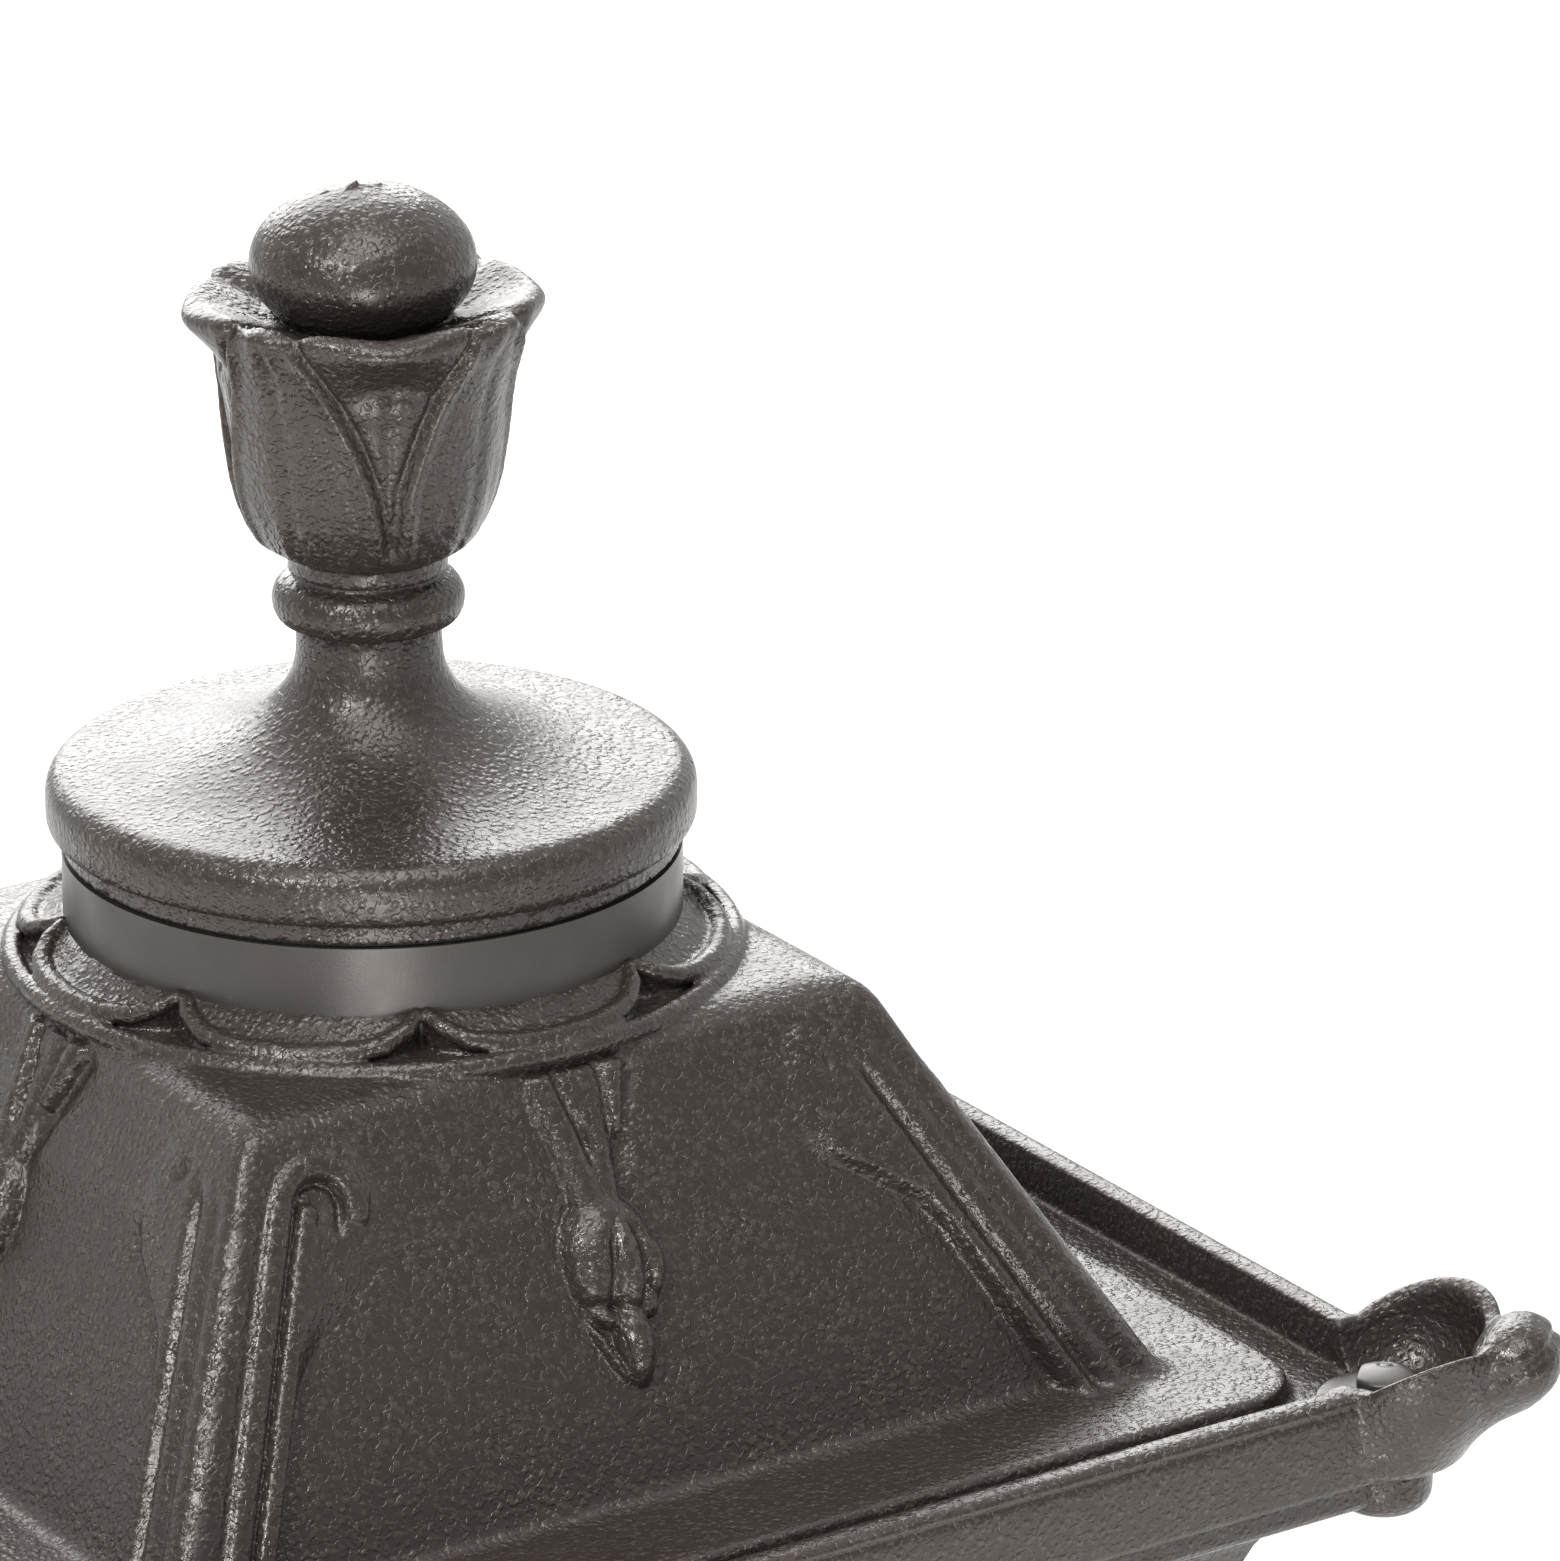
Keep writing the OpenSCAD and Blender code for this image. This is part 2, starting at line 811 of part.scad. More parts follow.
module windows() {
    z0 = pane_z + stile_w * 0.6;
    z1 = cove_z - stile_w * 0.4;
    for (a = [0, 90])
        rotate([90, 0, a])
            linear_extrude(far, center = true)
                polygon(both_sides([
                    [cage_half(z0) - stile_w, z0],
                    [cage_half(z1 - 9) - stile_w, z1 - 9],
                    [cage_half(z1) - stile_w - 9, z1]
                ]));
}

module cage_lugs() {
    peg_places()
        translate([0, 0, flange_z - lug_drop])
            round_turned(concat(
                [[0, 0]],
                oval(lug_r - 4, 4, 4, 4, -90, 0, 6),
                [[lug_r, lug_drop], [0, lug_drop]]
            ));
}

module lug_cavities() {
    peg_places()
        translate([0, 0, peg_foot_z]) {
            translate([0, 0, -seat])
                cylinder(r = foot_room_r, h = peg_foot_t + 2 * seat);
            cylinder(r = peg_shank_r + 0.3, h = 20);
            keyhole(20);
        }
}

screw_at = cage_foot - 9;

module base_screw_places() {
    for (x = [-screw_at, screw_at], y = [-screw_at, screw_at])
        translate([x, y, 0])
            children();
}

module cage() {
    color(resin)
        difference() {
            union() {
                difference() {
                    cage_outside();
                    cage_inside();
                    windows();
                }
                cage_lugs();
                difference() {
                    translate([0, 0, flange_z - 1])
                        square_slab(curb_half, curb_z - flange_z + 1, curb_r);
                    translate([0, 0, flange_z - 2])
                        square_slab(curb_half - curb_w, 40, curb_r - curb_w);
                }
                base_screw_places()
                    translate([0, 0, cage_z])
                        cylinder(r = 5, h = ring_h - 0.5);
            }
            lug_cavities();
            strip_screw_places()
                cylinder(r = strip_screw_r + screw_gap, h = strip_screw_l + 1);
            base_screw_places()
                translate([0, 0, cage_z - 1])
                    cylinder(r = screw_r + screw_gap, h = ring_h);
        }
}

module canopy_gasket() {
    color(black_rubber)
        translate([0, 0, curb_z + seat])
            difference() {
                square_slab(curb_half, gasket_t, curb_r);
                translate([0, 0, -1])
                    square_slab(curb_half - curb_w, gasket_t + 2, curb_r - curb_w);
            }
}

// Glazing: a sheet for each window, which stands on the ledge behind the posts
glass_z0 = ledge_z + seat;
glass_z1 = cove_z - 1;
glass_back = cage_wall + glass_gap + glass_t;

module glass_sheet(side) {
    rise = (glass_z1 - glass_z0) / cos(cage_lean);
    room = cage_wall + glass_edge;
    color(clear_panel)
        rotate([0, 0, side * 90])
            translate([0, -cage_half(glass_z0, cage_wall + glass_gap), glass_z0])
                rotate([cage_lean, 0, 0])
                    rotate([90, 0, 0])
                        translate([0, 0, -glass_t])
                            linear_extrude(glass_t)
                                polygon(both_sides([
                                    [cage_half(glass_z0, room), 0],
                                    [cage_half(glass_z1, room), rise]
                                ]));
}

// Corner strips: three-sided bars, screwed to the posts, that hold the sheets' edges
glass_edge = 6;
strip_leg = 7;
strip_screw_r = 1.5;
strip_screw_l = 14;
strip_z0 = glass_z0 + 2;
strip_z1 = glass_z1 - 2;

strip_inset = glass_back + seat;
function strip_face(z) = (2 * cage_half(z, strip_inset) - strip_leg) / sqrt(2);
strip_lean = (strip_face(strip_z1) - strip_face(strip_z0)) / (strip_z1 - strip_z0);

module corner_strip(corner) {
    color(resin)
        rotate([0, 0, corner * 90])
            difference() {
                intersection() {
                    square_turned([
                        [cage_half(strip_z0, strip_inset), strip_z0],
                        [cage_half(strip_z1, strip_inset), strip_z1]
                    ]);
                    translate([0, -far, 0])
                        cube([far, far, far]);
                }
                strip_core();
                strip_screw_places([0])
                    cylinder(r = strip_screw_r + screw_gap, h = 30, center = true);
            }
}

// Everything nearer to the axis than the strips' inner faces
module strip_core() {
    over = 10;
    rotate([0, 0, 45])
        square_turned([
            [strip_face(strip_z0) - strip_lean * over, strip_z0 - over],
            [strip_face(strip_z1) + strip_lean * over, strip_z1 + over]
        ]);
}

// Two screws stand square on each strip's inner face
module strip_screw_places(turns = [0 : 90 : 270]) {
    for (a = turns, up = [0.2, 0.8]) {
        z = strip_z0 + (strip_z1 - strip_z0) * up;
        rotate([0, 0, a - 45])
            translate([strip_face(z), 0, z])
                rotate([0, 90 + atan(strip_lean), 0])
                    children();
    }
}

module strip_screws() {
    head_h = 1.2;
    color(steel)
        strip_screw_places()
            translate([0, 0, -0.05]) {
                cylinder(r = strip_screw_r, h = strip_screw_l);
                translate([0, 0, -head_h])
                    cylinder(r = 2.8, h = head_h);
            }
}

// Base
tray_half = tray_w / 2;
bore_r = post_d / 2 + post_gap;
sleeve_r = bore_r + sleeve_wall;
foot_r = sleeve_r + 4;
floor_t = 3.5;
wire_r = 9;

tray_wall = 5;
bore_top = tray_z + tray_h - floor_t;
// The post's end meets a stop ring below the floor
stop_r = bore_r - 4;
stop_z = bore_top - 3;

// Square tray with a rounded lower edge, open below, and its floor
module tray() {
    edge_r = 9;
    difference() {
        square_turned(concat(
            [[tray_half - edge_r, tray_z]],
            oval(tray_half - edge_r, tray_z + edge_r, edge_r, edge_r, -90, 0, 7),
            [[tray_half, floor_z - 1], [tray_half - 1, floor_z]]
        ));
        translate([0, 0, tray_z - 1])
            square_slab(tray_half - edge_r, 1 + edge_r * 0.4, 6);
        translate([0, 0, tray_z])
            square_slab(tray_half - tray_wall - 1, tray_h - floor_t, 6);
    }
}

// Post sleeve with a foot ring below and the stop ring at its top
module sleeve() {
    foot_h = 6;
    round_turned(concat(
        [[bore_r, 0], [foot_r - 0.8, 0], [foot_r, 0.8], [foot_r, foot_h]],
        arc(foot_r - 2.5, foot_h, 2.5, 0, 90, 4),
        [[sleeve_r, foot_h + 4], [sleeve_r, bore_top + 1], [stop_r, bore_top + 1]],
        [[stop_r, stop_z], [bore_r, stop_z]]
    ));
}

// Two gussets on each side run in a curve from the sleeve to the tray's wall
module gussets() {
    gusset_t = 2.6;
    gusset_at = 17;
    gusset_z = 30;
    reach = tray_half - tray_wall;
    four_sides()
        for (x = [-gusset_at, gusset_at])
            translate([x + gusset_t / 2, 0, 0])
                rotate([90, 0, -90])
                    linear_extrude(gusset_t)
                        polygon(concat(
                            oval(reach, gusset_z, bore_r - reach, tray_z + 1 - gusset_z, 0, 90, 12),
                            [[reach, bore_top + 1], [bore_r - 8, bore_top + 1], [bore_r - 8, gusset_z]]
                        ));
}

module base_tray() {
    color(resin)
        difference() {
            union() {
                tray();
                sleeve();
                gussets();
                base_screw_places()
                    translate([0, 0, tray_z + 4])
                        cylinder(r = 6, h = tray_h - 5);
            }
            translate([0, 0, -1]) {
                cylinder(r = bore_r, h = stop_z + 1);
                cylinder(r = stop_r, h = bore_top + 1);
            }
            translate([0, 0, tray_z])
                cylinder(r = wire_r, h = 40);
            base_screw_places()
                translate([0, 0, tray_z - 1]) {
                    cylinder(r = screw_r + 0.3, h = 40);
                    cylinder(r = 4.2, h = 8);
                }
            post_screw_places()
                translate([0, 0, -1])
                    cylinder(r = clamp_r + screw_gap, h = 20);
        }
}

// Three screws clamp the sleeve on the post. Slack, they stay clear of its bore.
clamp_r = 3;
clamp_z = 22;
clamp_slack = 0.4;

module post_screw_places() {
    for (a = [90, 210, 330])
        rotate([0, 0, a])
            translate([bore_r, 0, clamp_z])
                rotate([0, 90, 0])
                    children();
}

module post_screws() {
    color(steel)
        post_screw_places()
            translate([0, 0, clamp_slack]) {
                cylinder(r = clamp_r, h = sleeve_wall);
                translate([0, 0, sleeve_wall - clamp_slack / 2])
                    cylinder(r = 5, h = 4, $fn = 6);
            }
}

module base_gasket() {
    color(black_rubber)
        translate([0, 0, floor_z + seat])
            difference() {
                square_slab(cage_foot + 3, gasket_t, 3);
                translate([0, 0, -1])
                    square_slab(cage_foot - 3.5, gasket_t + 2, 3);
            }
}

module base_screws() {
    color(steel)
        base_screw_places()
            translate([0, 0, tray_z + 6.95])
                pan_screw(ring_h + 6);
}

// Lamp carrier: a bridge over the wiring, a stem tube and its nuts
bridge_l = 84;
bridge_w = 22;
bridge_h = 20;
bridge_t = 1.6;
bridge_foot = 12;
bridge_z = floor_z + bridge_h;
stem_r = 5;
stem_bore = 3.6;
holder_z = bridge_z + bridge_t + 5.5;
bridge_hole_at = bridge_l / 2 - bridge_foot / 2;

module lamp_bracket() {
    z0 = floor_z + 0.05;
    color(steel)
        difference() {
            translate([0, bridge_w / 2, 0])
                rotate([90, 0, 0])
                    linear_extrude(bridge_w)
                        polygon([
                            [-bridge_l / 2, z0],
                            [-bridge_l / 2 + bridge_foot, z0],
                            [-bridge_l / 2 + bridge_foot + 5, bridge_z],
                            [bridge_l / 2 - bridge_foot - 5, bridge_z],
                            [bridge_l / 2 - bridge_foot, z0],
                            [bridge_l / 2, z0],
                            [bridge_l / 2, z0 + bridge_t],
                            [bridge_l / 2 - bridge_foot + bridge_t, z0 + bridge_t],
                            [bridge_l / 2 - bridge_foot - 5 + bridge_t, bridge_z + bridge_t],
                            [-bridge_l / 2 + bridge_foot + 5 - bridge_t, bridge_z + bridge_t],
                            [-bridge_l / 2 + bridge_foot - bridge_t, z0 + bridge_t],
                            [-bridge_l / 2, z0 + bridge_t]
                        ]);
            translate([0, 0, bridge_z - 1])
                cylinder(r = stem_r + 0.1, h = 10);
            for (x = [-bridge_hole_at, bridge_hole_at])
                translate([x, 0, floor_z - 1])
                    cylinder(r = screw_r + 0.2, h = 10);
        }
}

module bracket_screws() {
    color(steel)
        for (x = [-bridge_hole_at, bridge_hole_at])
            translate([x, 0, floor_z + bridge_t + 0.1])
                mirror([0, 0, 1])
                    pan_screw(bridge_t);
}

module stem_tube() {
    color(steel)
        translate([0, 0, bridge_z - 6])
            difference() {
                cylinder(r = stem_r, h = holder_z + 6 - bridge_z + 6);
                translate([0, 0, -1])
                    cylinder(r = stem_bore, h = 60);
            }
}

module stem_nuts() {
    nut_h = 3;
    color(brass)
        for (z = [bridge_z - 0.05 - nut_h, bridge_z + bridge_t + 0.05])
            translate([0, 0, z])
                difference() {
                    cylinder(r = 8, h = nut_h, $fn = 6);
                    translate([0, 0, -1])
                        cylinder(r = stem_r + 0.05, h = 10);
                }
}

// Lampholder
shell_r = 14.6;
shell_t = 0.5;
shell_depth = 26;
shell_floor = 14;

module lampholder_body() {
    color(porcelain)
        translate([0, 0, holder_z])
            difference() {
                round_turned(concat(
                    [[0, 0], [12, 0]],
                    arc(holder_r - 6, 6, 6, -60, 0, 6),
                    [[holder_r, holder_h - 8], [holder_r - 2, holder_h - 6]],
                    [[holder_r - 2, holder_h], [0, holder_h]]
                ));
                translate([0, 0, shell_floor])
                    cylinder(r = shell_r + 0.1, h = 60);
                translate([0, 0, -1])
                    cylinder(r = stem_r + 0.1, h = 7.5);
                translate([0, 0, -1])
                    cylinder(r = 3.4, h = 60);
            }
}

module lampholder_shell() {
    color(brass)
        translate([0, 0, holder_z + shell_floor + 0.1])
            difference() {
                cylinder(r = shell_r, h = shell_depth);
                translate([0, 0, shell_t])
                    cylinder(r = shell_r - shell_t, h = 60);
                translate([0, 0, -1])
                    cylinder(r = 7, h = 10);
            }
}

module centre_contact() {
    color(brass)
        translate([0, 0, holder_z + shell_floor + 0.1]) {
            cylinder(r = 5.6, h = 0.6);
            translate([0, 0, 0.5])
                cylinder(r = 2.2, h = 2);
            translate([0, 0, -5])
                cylinder(r = 1.6, h = 5.1);
        }
}

// Bulb: screw cap, neck and globe in one sealed piece
module led_bulb() {
    cap_len = 25;
    cap_rad = 13.2;
    neck_rad = 14.2;
    start = holder_z + shell_floor + 3.2;
    globe_z = bulb_len - globe_r;
    color(opal)
        translate([0, 0, start])
            round_turned(concat(
                [[0, 0], [4, 0], [9, 3], [cap_rad, 5], [cap_rad, cap_len]],
                [[neck_rad, cap_len + 2], [neck_rad, cap_len + 5], [neck_rad + 4, cap_len + 15]],
                arc(0, globe_z, globe_r, -38, 90, 20)
            ));
}

// Terminal block beside the bridge, with its screws
block_l = 30;
block_w = 18;
block_h = 15;
block_y = 28;
way_pitch = 10;
ways = [-way_pitch, 0, way_pitch];

module terminal_block() {
    color(porcelain)
        translate([-block_l / 2, block_y - block_w / 2, floor_z + 0.05])
            difference() {
                cube([block_l, block_w, block_h]);
                for (x = ways + [1, 1, 1] * block_l / 2) {
                    translate([x, -1, 5])
                        rotate([-90, 0, 0])
                            cylinder(r = 1.9, h = block_w + 2, $fn = 24);
                    translate([x, block_w / 2, 8])
                        cylinder(r = 2.2, h = block_h, $fn = 24);
                }
                for (x = [block_l / 2 - way_pitch / 2, block_l / 2 + way_pitch / 2])
                    translate([x - 0.5, -1, 9])
                        cube([1, block_w + 2, block_h]);
            }
}

module terminal_screws() {
    color(steel)
        for (x = ways)
            translate([x, block_y, floor_z + 8.1])
                difference() {
                    cylinder(r = 2, h = 5, $fn = 24);
                    translate([-3, -0.4, 4])
                        cube([6, 0.8, 2]);
                }
}

// Two leads run from the block's outer ways through the stem to the lampholder
module lamp_leads() {
    lead_r = 1.15;
    lead_x = 1.6;
    lead_z = floor_z + 5.05;
    bend = 5;
    run_y = block_y - block_w / 2 - seat;
    spread = way_pitch - lead_x;
    reach = norm([spread, run_y]);
    for (side = [-1, 1])
        color(side < 0 ? [0.45, 0.27, 0.16] : [0.20, 0.35, 0.62])
            translate([side * lead_x, 0, lead_z])
                rotate([0, 0, -side * atan2(spread, run_y)]) {
                    translate([0, 0, bend])
                        cylinder(r = lead_r, h = holder_z + 4 - lead_z - bend, $fn = 24);
                    translate([0, bend, bend])
                        rotate([0, -90, 0])
                            rotate([0, 0, 180])
                                rotate_extrude(angle = 90, $fn = 48)
                                    translate([bend, 0])
                                        circle(r = lead_r, $fn = 24);
                    translate([0, bend, 0])
                        rotate([-90, 0, 0])
                            cylinder(r = lead_r, h = reach - bend - 1, $fn = 24);
                }
}

module cable_grommet() {
    color(black_rubber)
        translate([0, 0, floor_z - floor_t])
            round_turned([
                [4, -2], [wire_r + 3, -2], [wire_r + 3, -0.1], [wire_r - 0.1, -0.1],
                [wire_r - 0.1, floor_t + 0.1], [wire_r + 2, floor_t + 0.1],
                [wire_r + 1, floor_t + 2], [4, floor_t + 2]
            ]);
}

finial_cap();
cap_screws();
cap_seal();
chimney_collar();
canopy();
canopy_gasket();
lock_peg(0);  // lock_peg_front_right
lock_peg(1);  // lock_peg_back_right
lock_peg(2);  // lock_peg_back_left
lock_peg(3);  // lock_peg_front_left
cage();
glass_sheet(0);  // glass_front
glass_sheet(1);  // glass_right
glass_sheet(2);  // glass_back
glass_sheet(3);  // glass_left
corner_strip(0);  // corner_strip_front_right
corner_strip(1);  // corner_strip_back_right
corner_strip(2);  // corner_strip_back_left
corner_strip(3);  // corner_strip_front_left
strip_screws();
base_gasket();
base_tray();
base_screws();
post_screws();
lamp_bracket();
bracket_screws();
stem_tube();
stem_nuts();
lampholder_body();
lampholder_shell();
centre_contact();
led_bulb();
terminal_block();
terminal_screws();
lamp_leads();
cable_grommet();
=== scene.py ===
import math

import bpy
import numpy as np
import openvdb as vdb
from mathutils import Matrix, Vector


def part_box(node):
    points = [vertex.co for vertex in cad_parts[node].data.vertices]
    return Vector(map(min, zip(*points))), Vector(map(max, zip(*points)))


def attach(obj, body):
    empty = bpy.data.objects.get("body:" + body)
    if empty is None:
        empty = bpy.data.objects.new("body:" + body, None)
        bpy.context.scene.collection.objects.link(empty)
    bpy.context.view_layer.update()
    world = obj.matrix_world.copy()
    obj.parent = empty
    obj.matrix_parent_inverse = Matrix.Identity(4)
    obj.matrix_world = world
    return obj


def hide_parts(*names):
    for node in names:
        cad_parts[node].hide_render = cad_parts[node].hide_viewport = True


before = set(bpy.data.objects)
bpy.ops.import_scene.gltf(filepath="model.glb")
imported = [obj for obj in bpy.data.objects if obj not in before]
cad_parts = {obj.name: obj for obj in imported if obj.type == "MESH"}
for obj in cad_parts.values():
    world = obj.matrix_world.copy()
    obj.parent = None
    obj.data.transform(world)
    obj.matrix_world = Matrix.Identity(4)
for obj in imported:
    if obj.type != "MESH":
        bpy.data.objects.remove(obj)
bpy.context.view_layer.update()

# Base tray
# One injection moulding in dark warm grey resin with a fine leather grain, open
# below. It slides over the round post and is clamped there with three screws.
MM = 0.001
# The dark colour is the resin's own; the lighter one is a painted highlight for the grain's raised crests.
RESIN_DARK = (0.027, 0.0212, 0.0188, 1)
RESIN_CREST_HIGHLIGHT = (0.072, 0.0590, 0.0530, 1)


def shader_group(name, inputs, outputs):
    tree = bpy.data.node_groups.new(name, "ShaderNodeTree")
    for label, kind, value in inputs:
        socket = tree.interface.new_socket(name=label, in_out="INPUT", socket_type=kind)
        if value is not None:
            socket.default_value = value
    for label, kind in outputs:
        tree.interface.new_socket(name=label, in_out="OUTPUT", socket_type=kind)
    return tree


def put(tree, kind, settings=None, **values):
    node = tree.nodes.new(kind)
    for key, value in (settings or {}).items():
        setattr(node, key, value)
    for key, value in values.items():
        node.inputs[key.replace("_", " ")].default_value = value
    return node


def sums(tree, operation, first, second=None, clamp=False):
    node = put(tree, "ShaderNodeMath", {"operation": operation, "use_clamp": clamp})
    for place, value in enumerate((first, second)):
        if isinstance(value, (int, float)):
            node.inputs[place].default_value = value
        elif value is not None:
            tree.links.new(value, node.inputs[place])
    return node.outputs[0]


def ramp(tree, value, low, high, to_low=0.0, to_high=1.0):
    node = put(tree, "ShaderNodeMapRange", {"interpolation_type": "SMOOTHSTEP"})
    node.inputs["From Min"].default_value = low
    node.inputs["From Max"].default_value = high
    node.inputs["To Min"].default_value = to_low
    node.inputs["To Max"].default_value = to_high
    tree.links.new(value, node.inputs["Value"])
    return node.outputs["Result"]


def leather_grain():
    """Small raised islands and short worms with steep edges, as etched into the mould."""
    tree = shader_group(
        "leather_grain",
        [("Island", "NodeSocketFloat", 1.2 * MM), ("Calm", "NodeSocketFloat", 0.35)],
        [("Height", "NodeSocketFloat"), ("Crest", "NodeSocketFloat"), ("Tone", "NodeSocketFloat")],
    )
    given = tree.nodes.new("NodeGroupInput")
    out = tree.nodes.new("NodeGroupOutput")
    place = tree.nodes.new("ShaderNodeTexCoord")
    pitch = sums(tree, "DIVIDE", 1.0, given.outputs["Island"])

    def speckle(share, detail, distortion, low, high):
        noise = put(tree, "ShaderNodeTexNoise", Detail=detail, Roughness=0.5, Distortion=distortion)
        tree.links.new(place.outputs["Object"], noise.inputs["Vector"])
        tree.links.new(sums(tree, "MULTIPLY", pitch, share), noise.inputs["Scale"])
        return ramp(tree, noise.outputs["Fac"], low, high)

    islands = speckle(0.85, 1.0, 0.5, 0.46, 0.54)
    dust = speckle(5.0, 1.0, 0.0, 0.30, 0.70)
    cells = put(tree, "ShaderNodeTexVoronoi", {"feature": "SMOOTH_F1"}, Smoothness=0.3)
    tree.links.new(place.outputs["Object"], cells.inputs["Vector"])
    tree.links.new(sums(tree, "MULTIPLY", pitch, 0.95), cells.inputs["Scale"])
    dots = ramp(tree, cells.outputs["Distance"], 0.12, 0.55, 1.0, 0.0)
    calm = put(tree, "ShaderNodeTexNoise", Scale=90.0, Detail=2.0)
    tree.links.new(place.outputs["Object"], calm.inputs["Vector"])
    patch = ramp(tree, calm.outputs["Fac"], 0.38, 0.60)
    keep = sums(tree, "SUBTRACT", 1.0, sums(tree, "MULTIPLY", patch, given.outputs["Calm"]))
    raised = sums(tree, "ADD", sums(tree, "MULTIPLY", islands, 0.45), sums(tree, "MULTIPLY", dots, 0.55))
    height = sums(tree, "MULTIPLY", raised, keep)
    height = sums(tree, "ADD", height, sums(tree, "MULTIPLY", dust, 0.05))
    tree.links.new(height, out.inputs["Height"])
    # Crest marks the grain's raised tops, where the resin paints a highlight.
    tree.links.new(ramp(tree, height, 0.25, 0.95), out.inputs["Crest"])
    tree.links.new(calm.outputs["Fac"], out.inputs["Tone"])
    return tree


GRAIN = leather_grain()


def finish_of(name, **constants):
    material = bpy.data.materials.new(name)
    material.use_nodes = True
    tree = material.node_tree
    shader = tree.nodes["Principled BSDF"]
    for key, value in constants.items():
        shader.inputs[key.replace("_", " ")].default_value = value
    return material, tree, shader


def resin(name, island, depth, calm, rough, dark=RESIN_DARK, light=RESIN_CREST_HIGHLIGHT):
    material, tree, shader = finish_of(name, IOR=1.58)
    shader.inputs["Specular Tint"].default_value = (1.0, 0.94, 0.90, 1)
    grain = put(tree, "ShaderNodeGroup", {"node_tree": GRAIN}, Island=island, Calm=calm)
    # The grain's raised crests get the lighter colour at half strength: a painted highlight on the tops of
    # the grain, over the dark resin.
    tint = put(tree, "ShaderNodeMix", {"data_type": "RGBA"})
    tint.inputs[6].default_value = dark
    tint.inputs[7].default_value = light
    tree.links.new(sums(tree, "MULTIPLY", grain.outputs["Crest"], 0.5), tint.inputs["Factor"])
    tree.links.new(tint.outputs[2], shader.inputs["Base Color"])
    gloss = ramp(tree, grain.outputs["Tone"], 0.3, 0.7, rough - 0.04, rough + 0.05)
    tree.links.new(gloss, shader.inputs["Roughness"])
    bump = put(tree, "ShaderNodeBump", Strength=1.0, Distance=depth)
    tree.links.new(grain.outputs["Height"], bump.inputs["Height"])
    tree.links.new(bump.outputs["Normal"], shader.inputs["Normal"])
    return material


GRAINED = resin("grained_resin", island=1.25 * MM, depth=0.21 * MM, calm=0.25, rough=0.29)


def dress(node, material):
    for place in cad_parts[node].material_slots:
        place.material = material


def soft_mottle():
    """Slow blotches and a fine tooth, for metal, rubber and glazed china."""
    tree = shader_group(
        "soft_mottle",
        [("Blotch", "NodeSocketFloat", 8.0 * MM), ("Tooth", "NodeSocketFloat", 0.5 * MM)],
        [("Blotches", "NodeSocketFloat"), ("Teeth", "NodeSocketFloat")],
    )
    given = tree.nodes.new("NodeGroupInput")
    out = tree.nodes.new("NodeGroupOutput")
    place = tree.nodes.new("ShaderNodeTexCoord")
    for size, label, detail in (("Blotch", "Blotches", 3.0), ("Tooth", "Teeth", 2.0)):
        noise = put(tree, "ShaderNodeTexNoise", Detail=detail)
        tree.links.new(place.outputs["Object"], noise.inputs["Vector"])
        tree.links.new(sums(tree, "DIVIDE", 1.0, given.outputs[size]), noise.inputs["Scale"])
        tree.links.new(ramp(tree, noise.outputs["Fac"], 0.32, 0.68), out.inputs[label])
    return tree


MOTTLE = soft_mottle()


def plain_finish(name, first, second, rough, depth, blotch=8.0, tooth=0.5, **constants):
    """Two near colours in blotches, uneven gloss and a fine tooth."""
    material, tree, shader = finish_of(name, **constants)
    mottle = put(tree, "ShaderNodeGroup", {"node_tree": MOTTLE}, Blotch=blotch * MM, Tooth=tooth * MM)
    tint = put(tree, "ShaderNodeMix", {"data_type": "RGBA"})
    tint.inputs[6].default_value = (*first, 1)
    tint.inputs[7].default_value = (*second, 1)
    tree.links.new(mottle.outputs["Blotches"], tint.inputs["Factor"])
    tree.links.new(tint.outputs[2], shader.inputs["Base Color"])
    gloss = ramp(tree, mottle.outputs["Blotches"], 0.0, 1.0, rough * 0.85, rough * 1.15)
    tree.links.new(gloss, shader.inputs["Roughness"])
    bump = put(tree, "ShaderNodeBump", Strength=1.0, Distance=depth * MM)
    tree.links.new(mottle.outputs["Teeth"], bump.inputs["Height"])
    tree.links.new(bump.outputs["Normal"], shader.inputs["Normal"])
    return material


dress("base_tray", GRAINED)
RUBBER = plain_finish("black_rubber", (0.016, 0.016, 0.016), (0.027, 0.026, 0.025), 0.62, 0.03)
dress("cable_grommet", RUBBER)
dress("base_gasket", RUBBER)

# Lamp carrier
# A bridge folded from zinc coated sheet stands over the wiring, held by two screws. The
# brass stem tube is clamped to it by two nuts and lifts the lampholder.
ZINC = plain_finish("zinc_steel", (0.55, 0.56, 0.57), (0.67, 0.68, 0.68), 0.30, 0.004, Metallic=1.0)
BRASS = plain_finish("brass", (0.70, 0.51, 0.23), (0.80, 0.61, 0.30), 0.27, 0.003, Metallic=1.0)
for node in ("lamp_bracket", "bracket_screws", "post_screws", "terminal_screws"):
    dress(node, ZINC)
for node in ("stem_tube", "stem_nuts", "lampholder_shell", "centre_contact"):
    dress(node, BRASS)

# Lamp
# A glazed china holder with a brass shell, a sealed opal bulb in it, a china terminal
# block under the bridge and two leads, brown and blue, from the block up to the holder.
CHINA = plain_finish("porcelain", (0.78, 0.76, 0.70), (0.84, 0.83, 0.78), 0.16, 0.004)
dress("lampholder_body", CHINA)
dress("terminal_block", CHINA)
CAP_LENGTH = 26.0 * MM


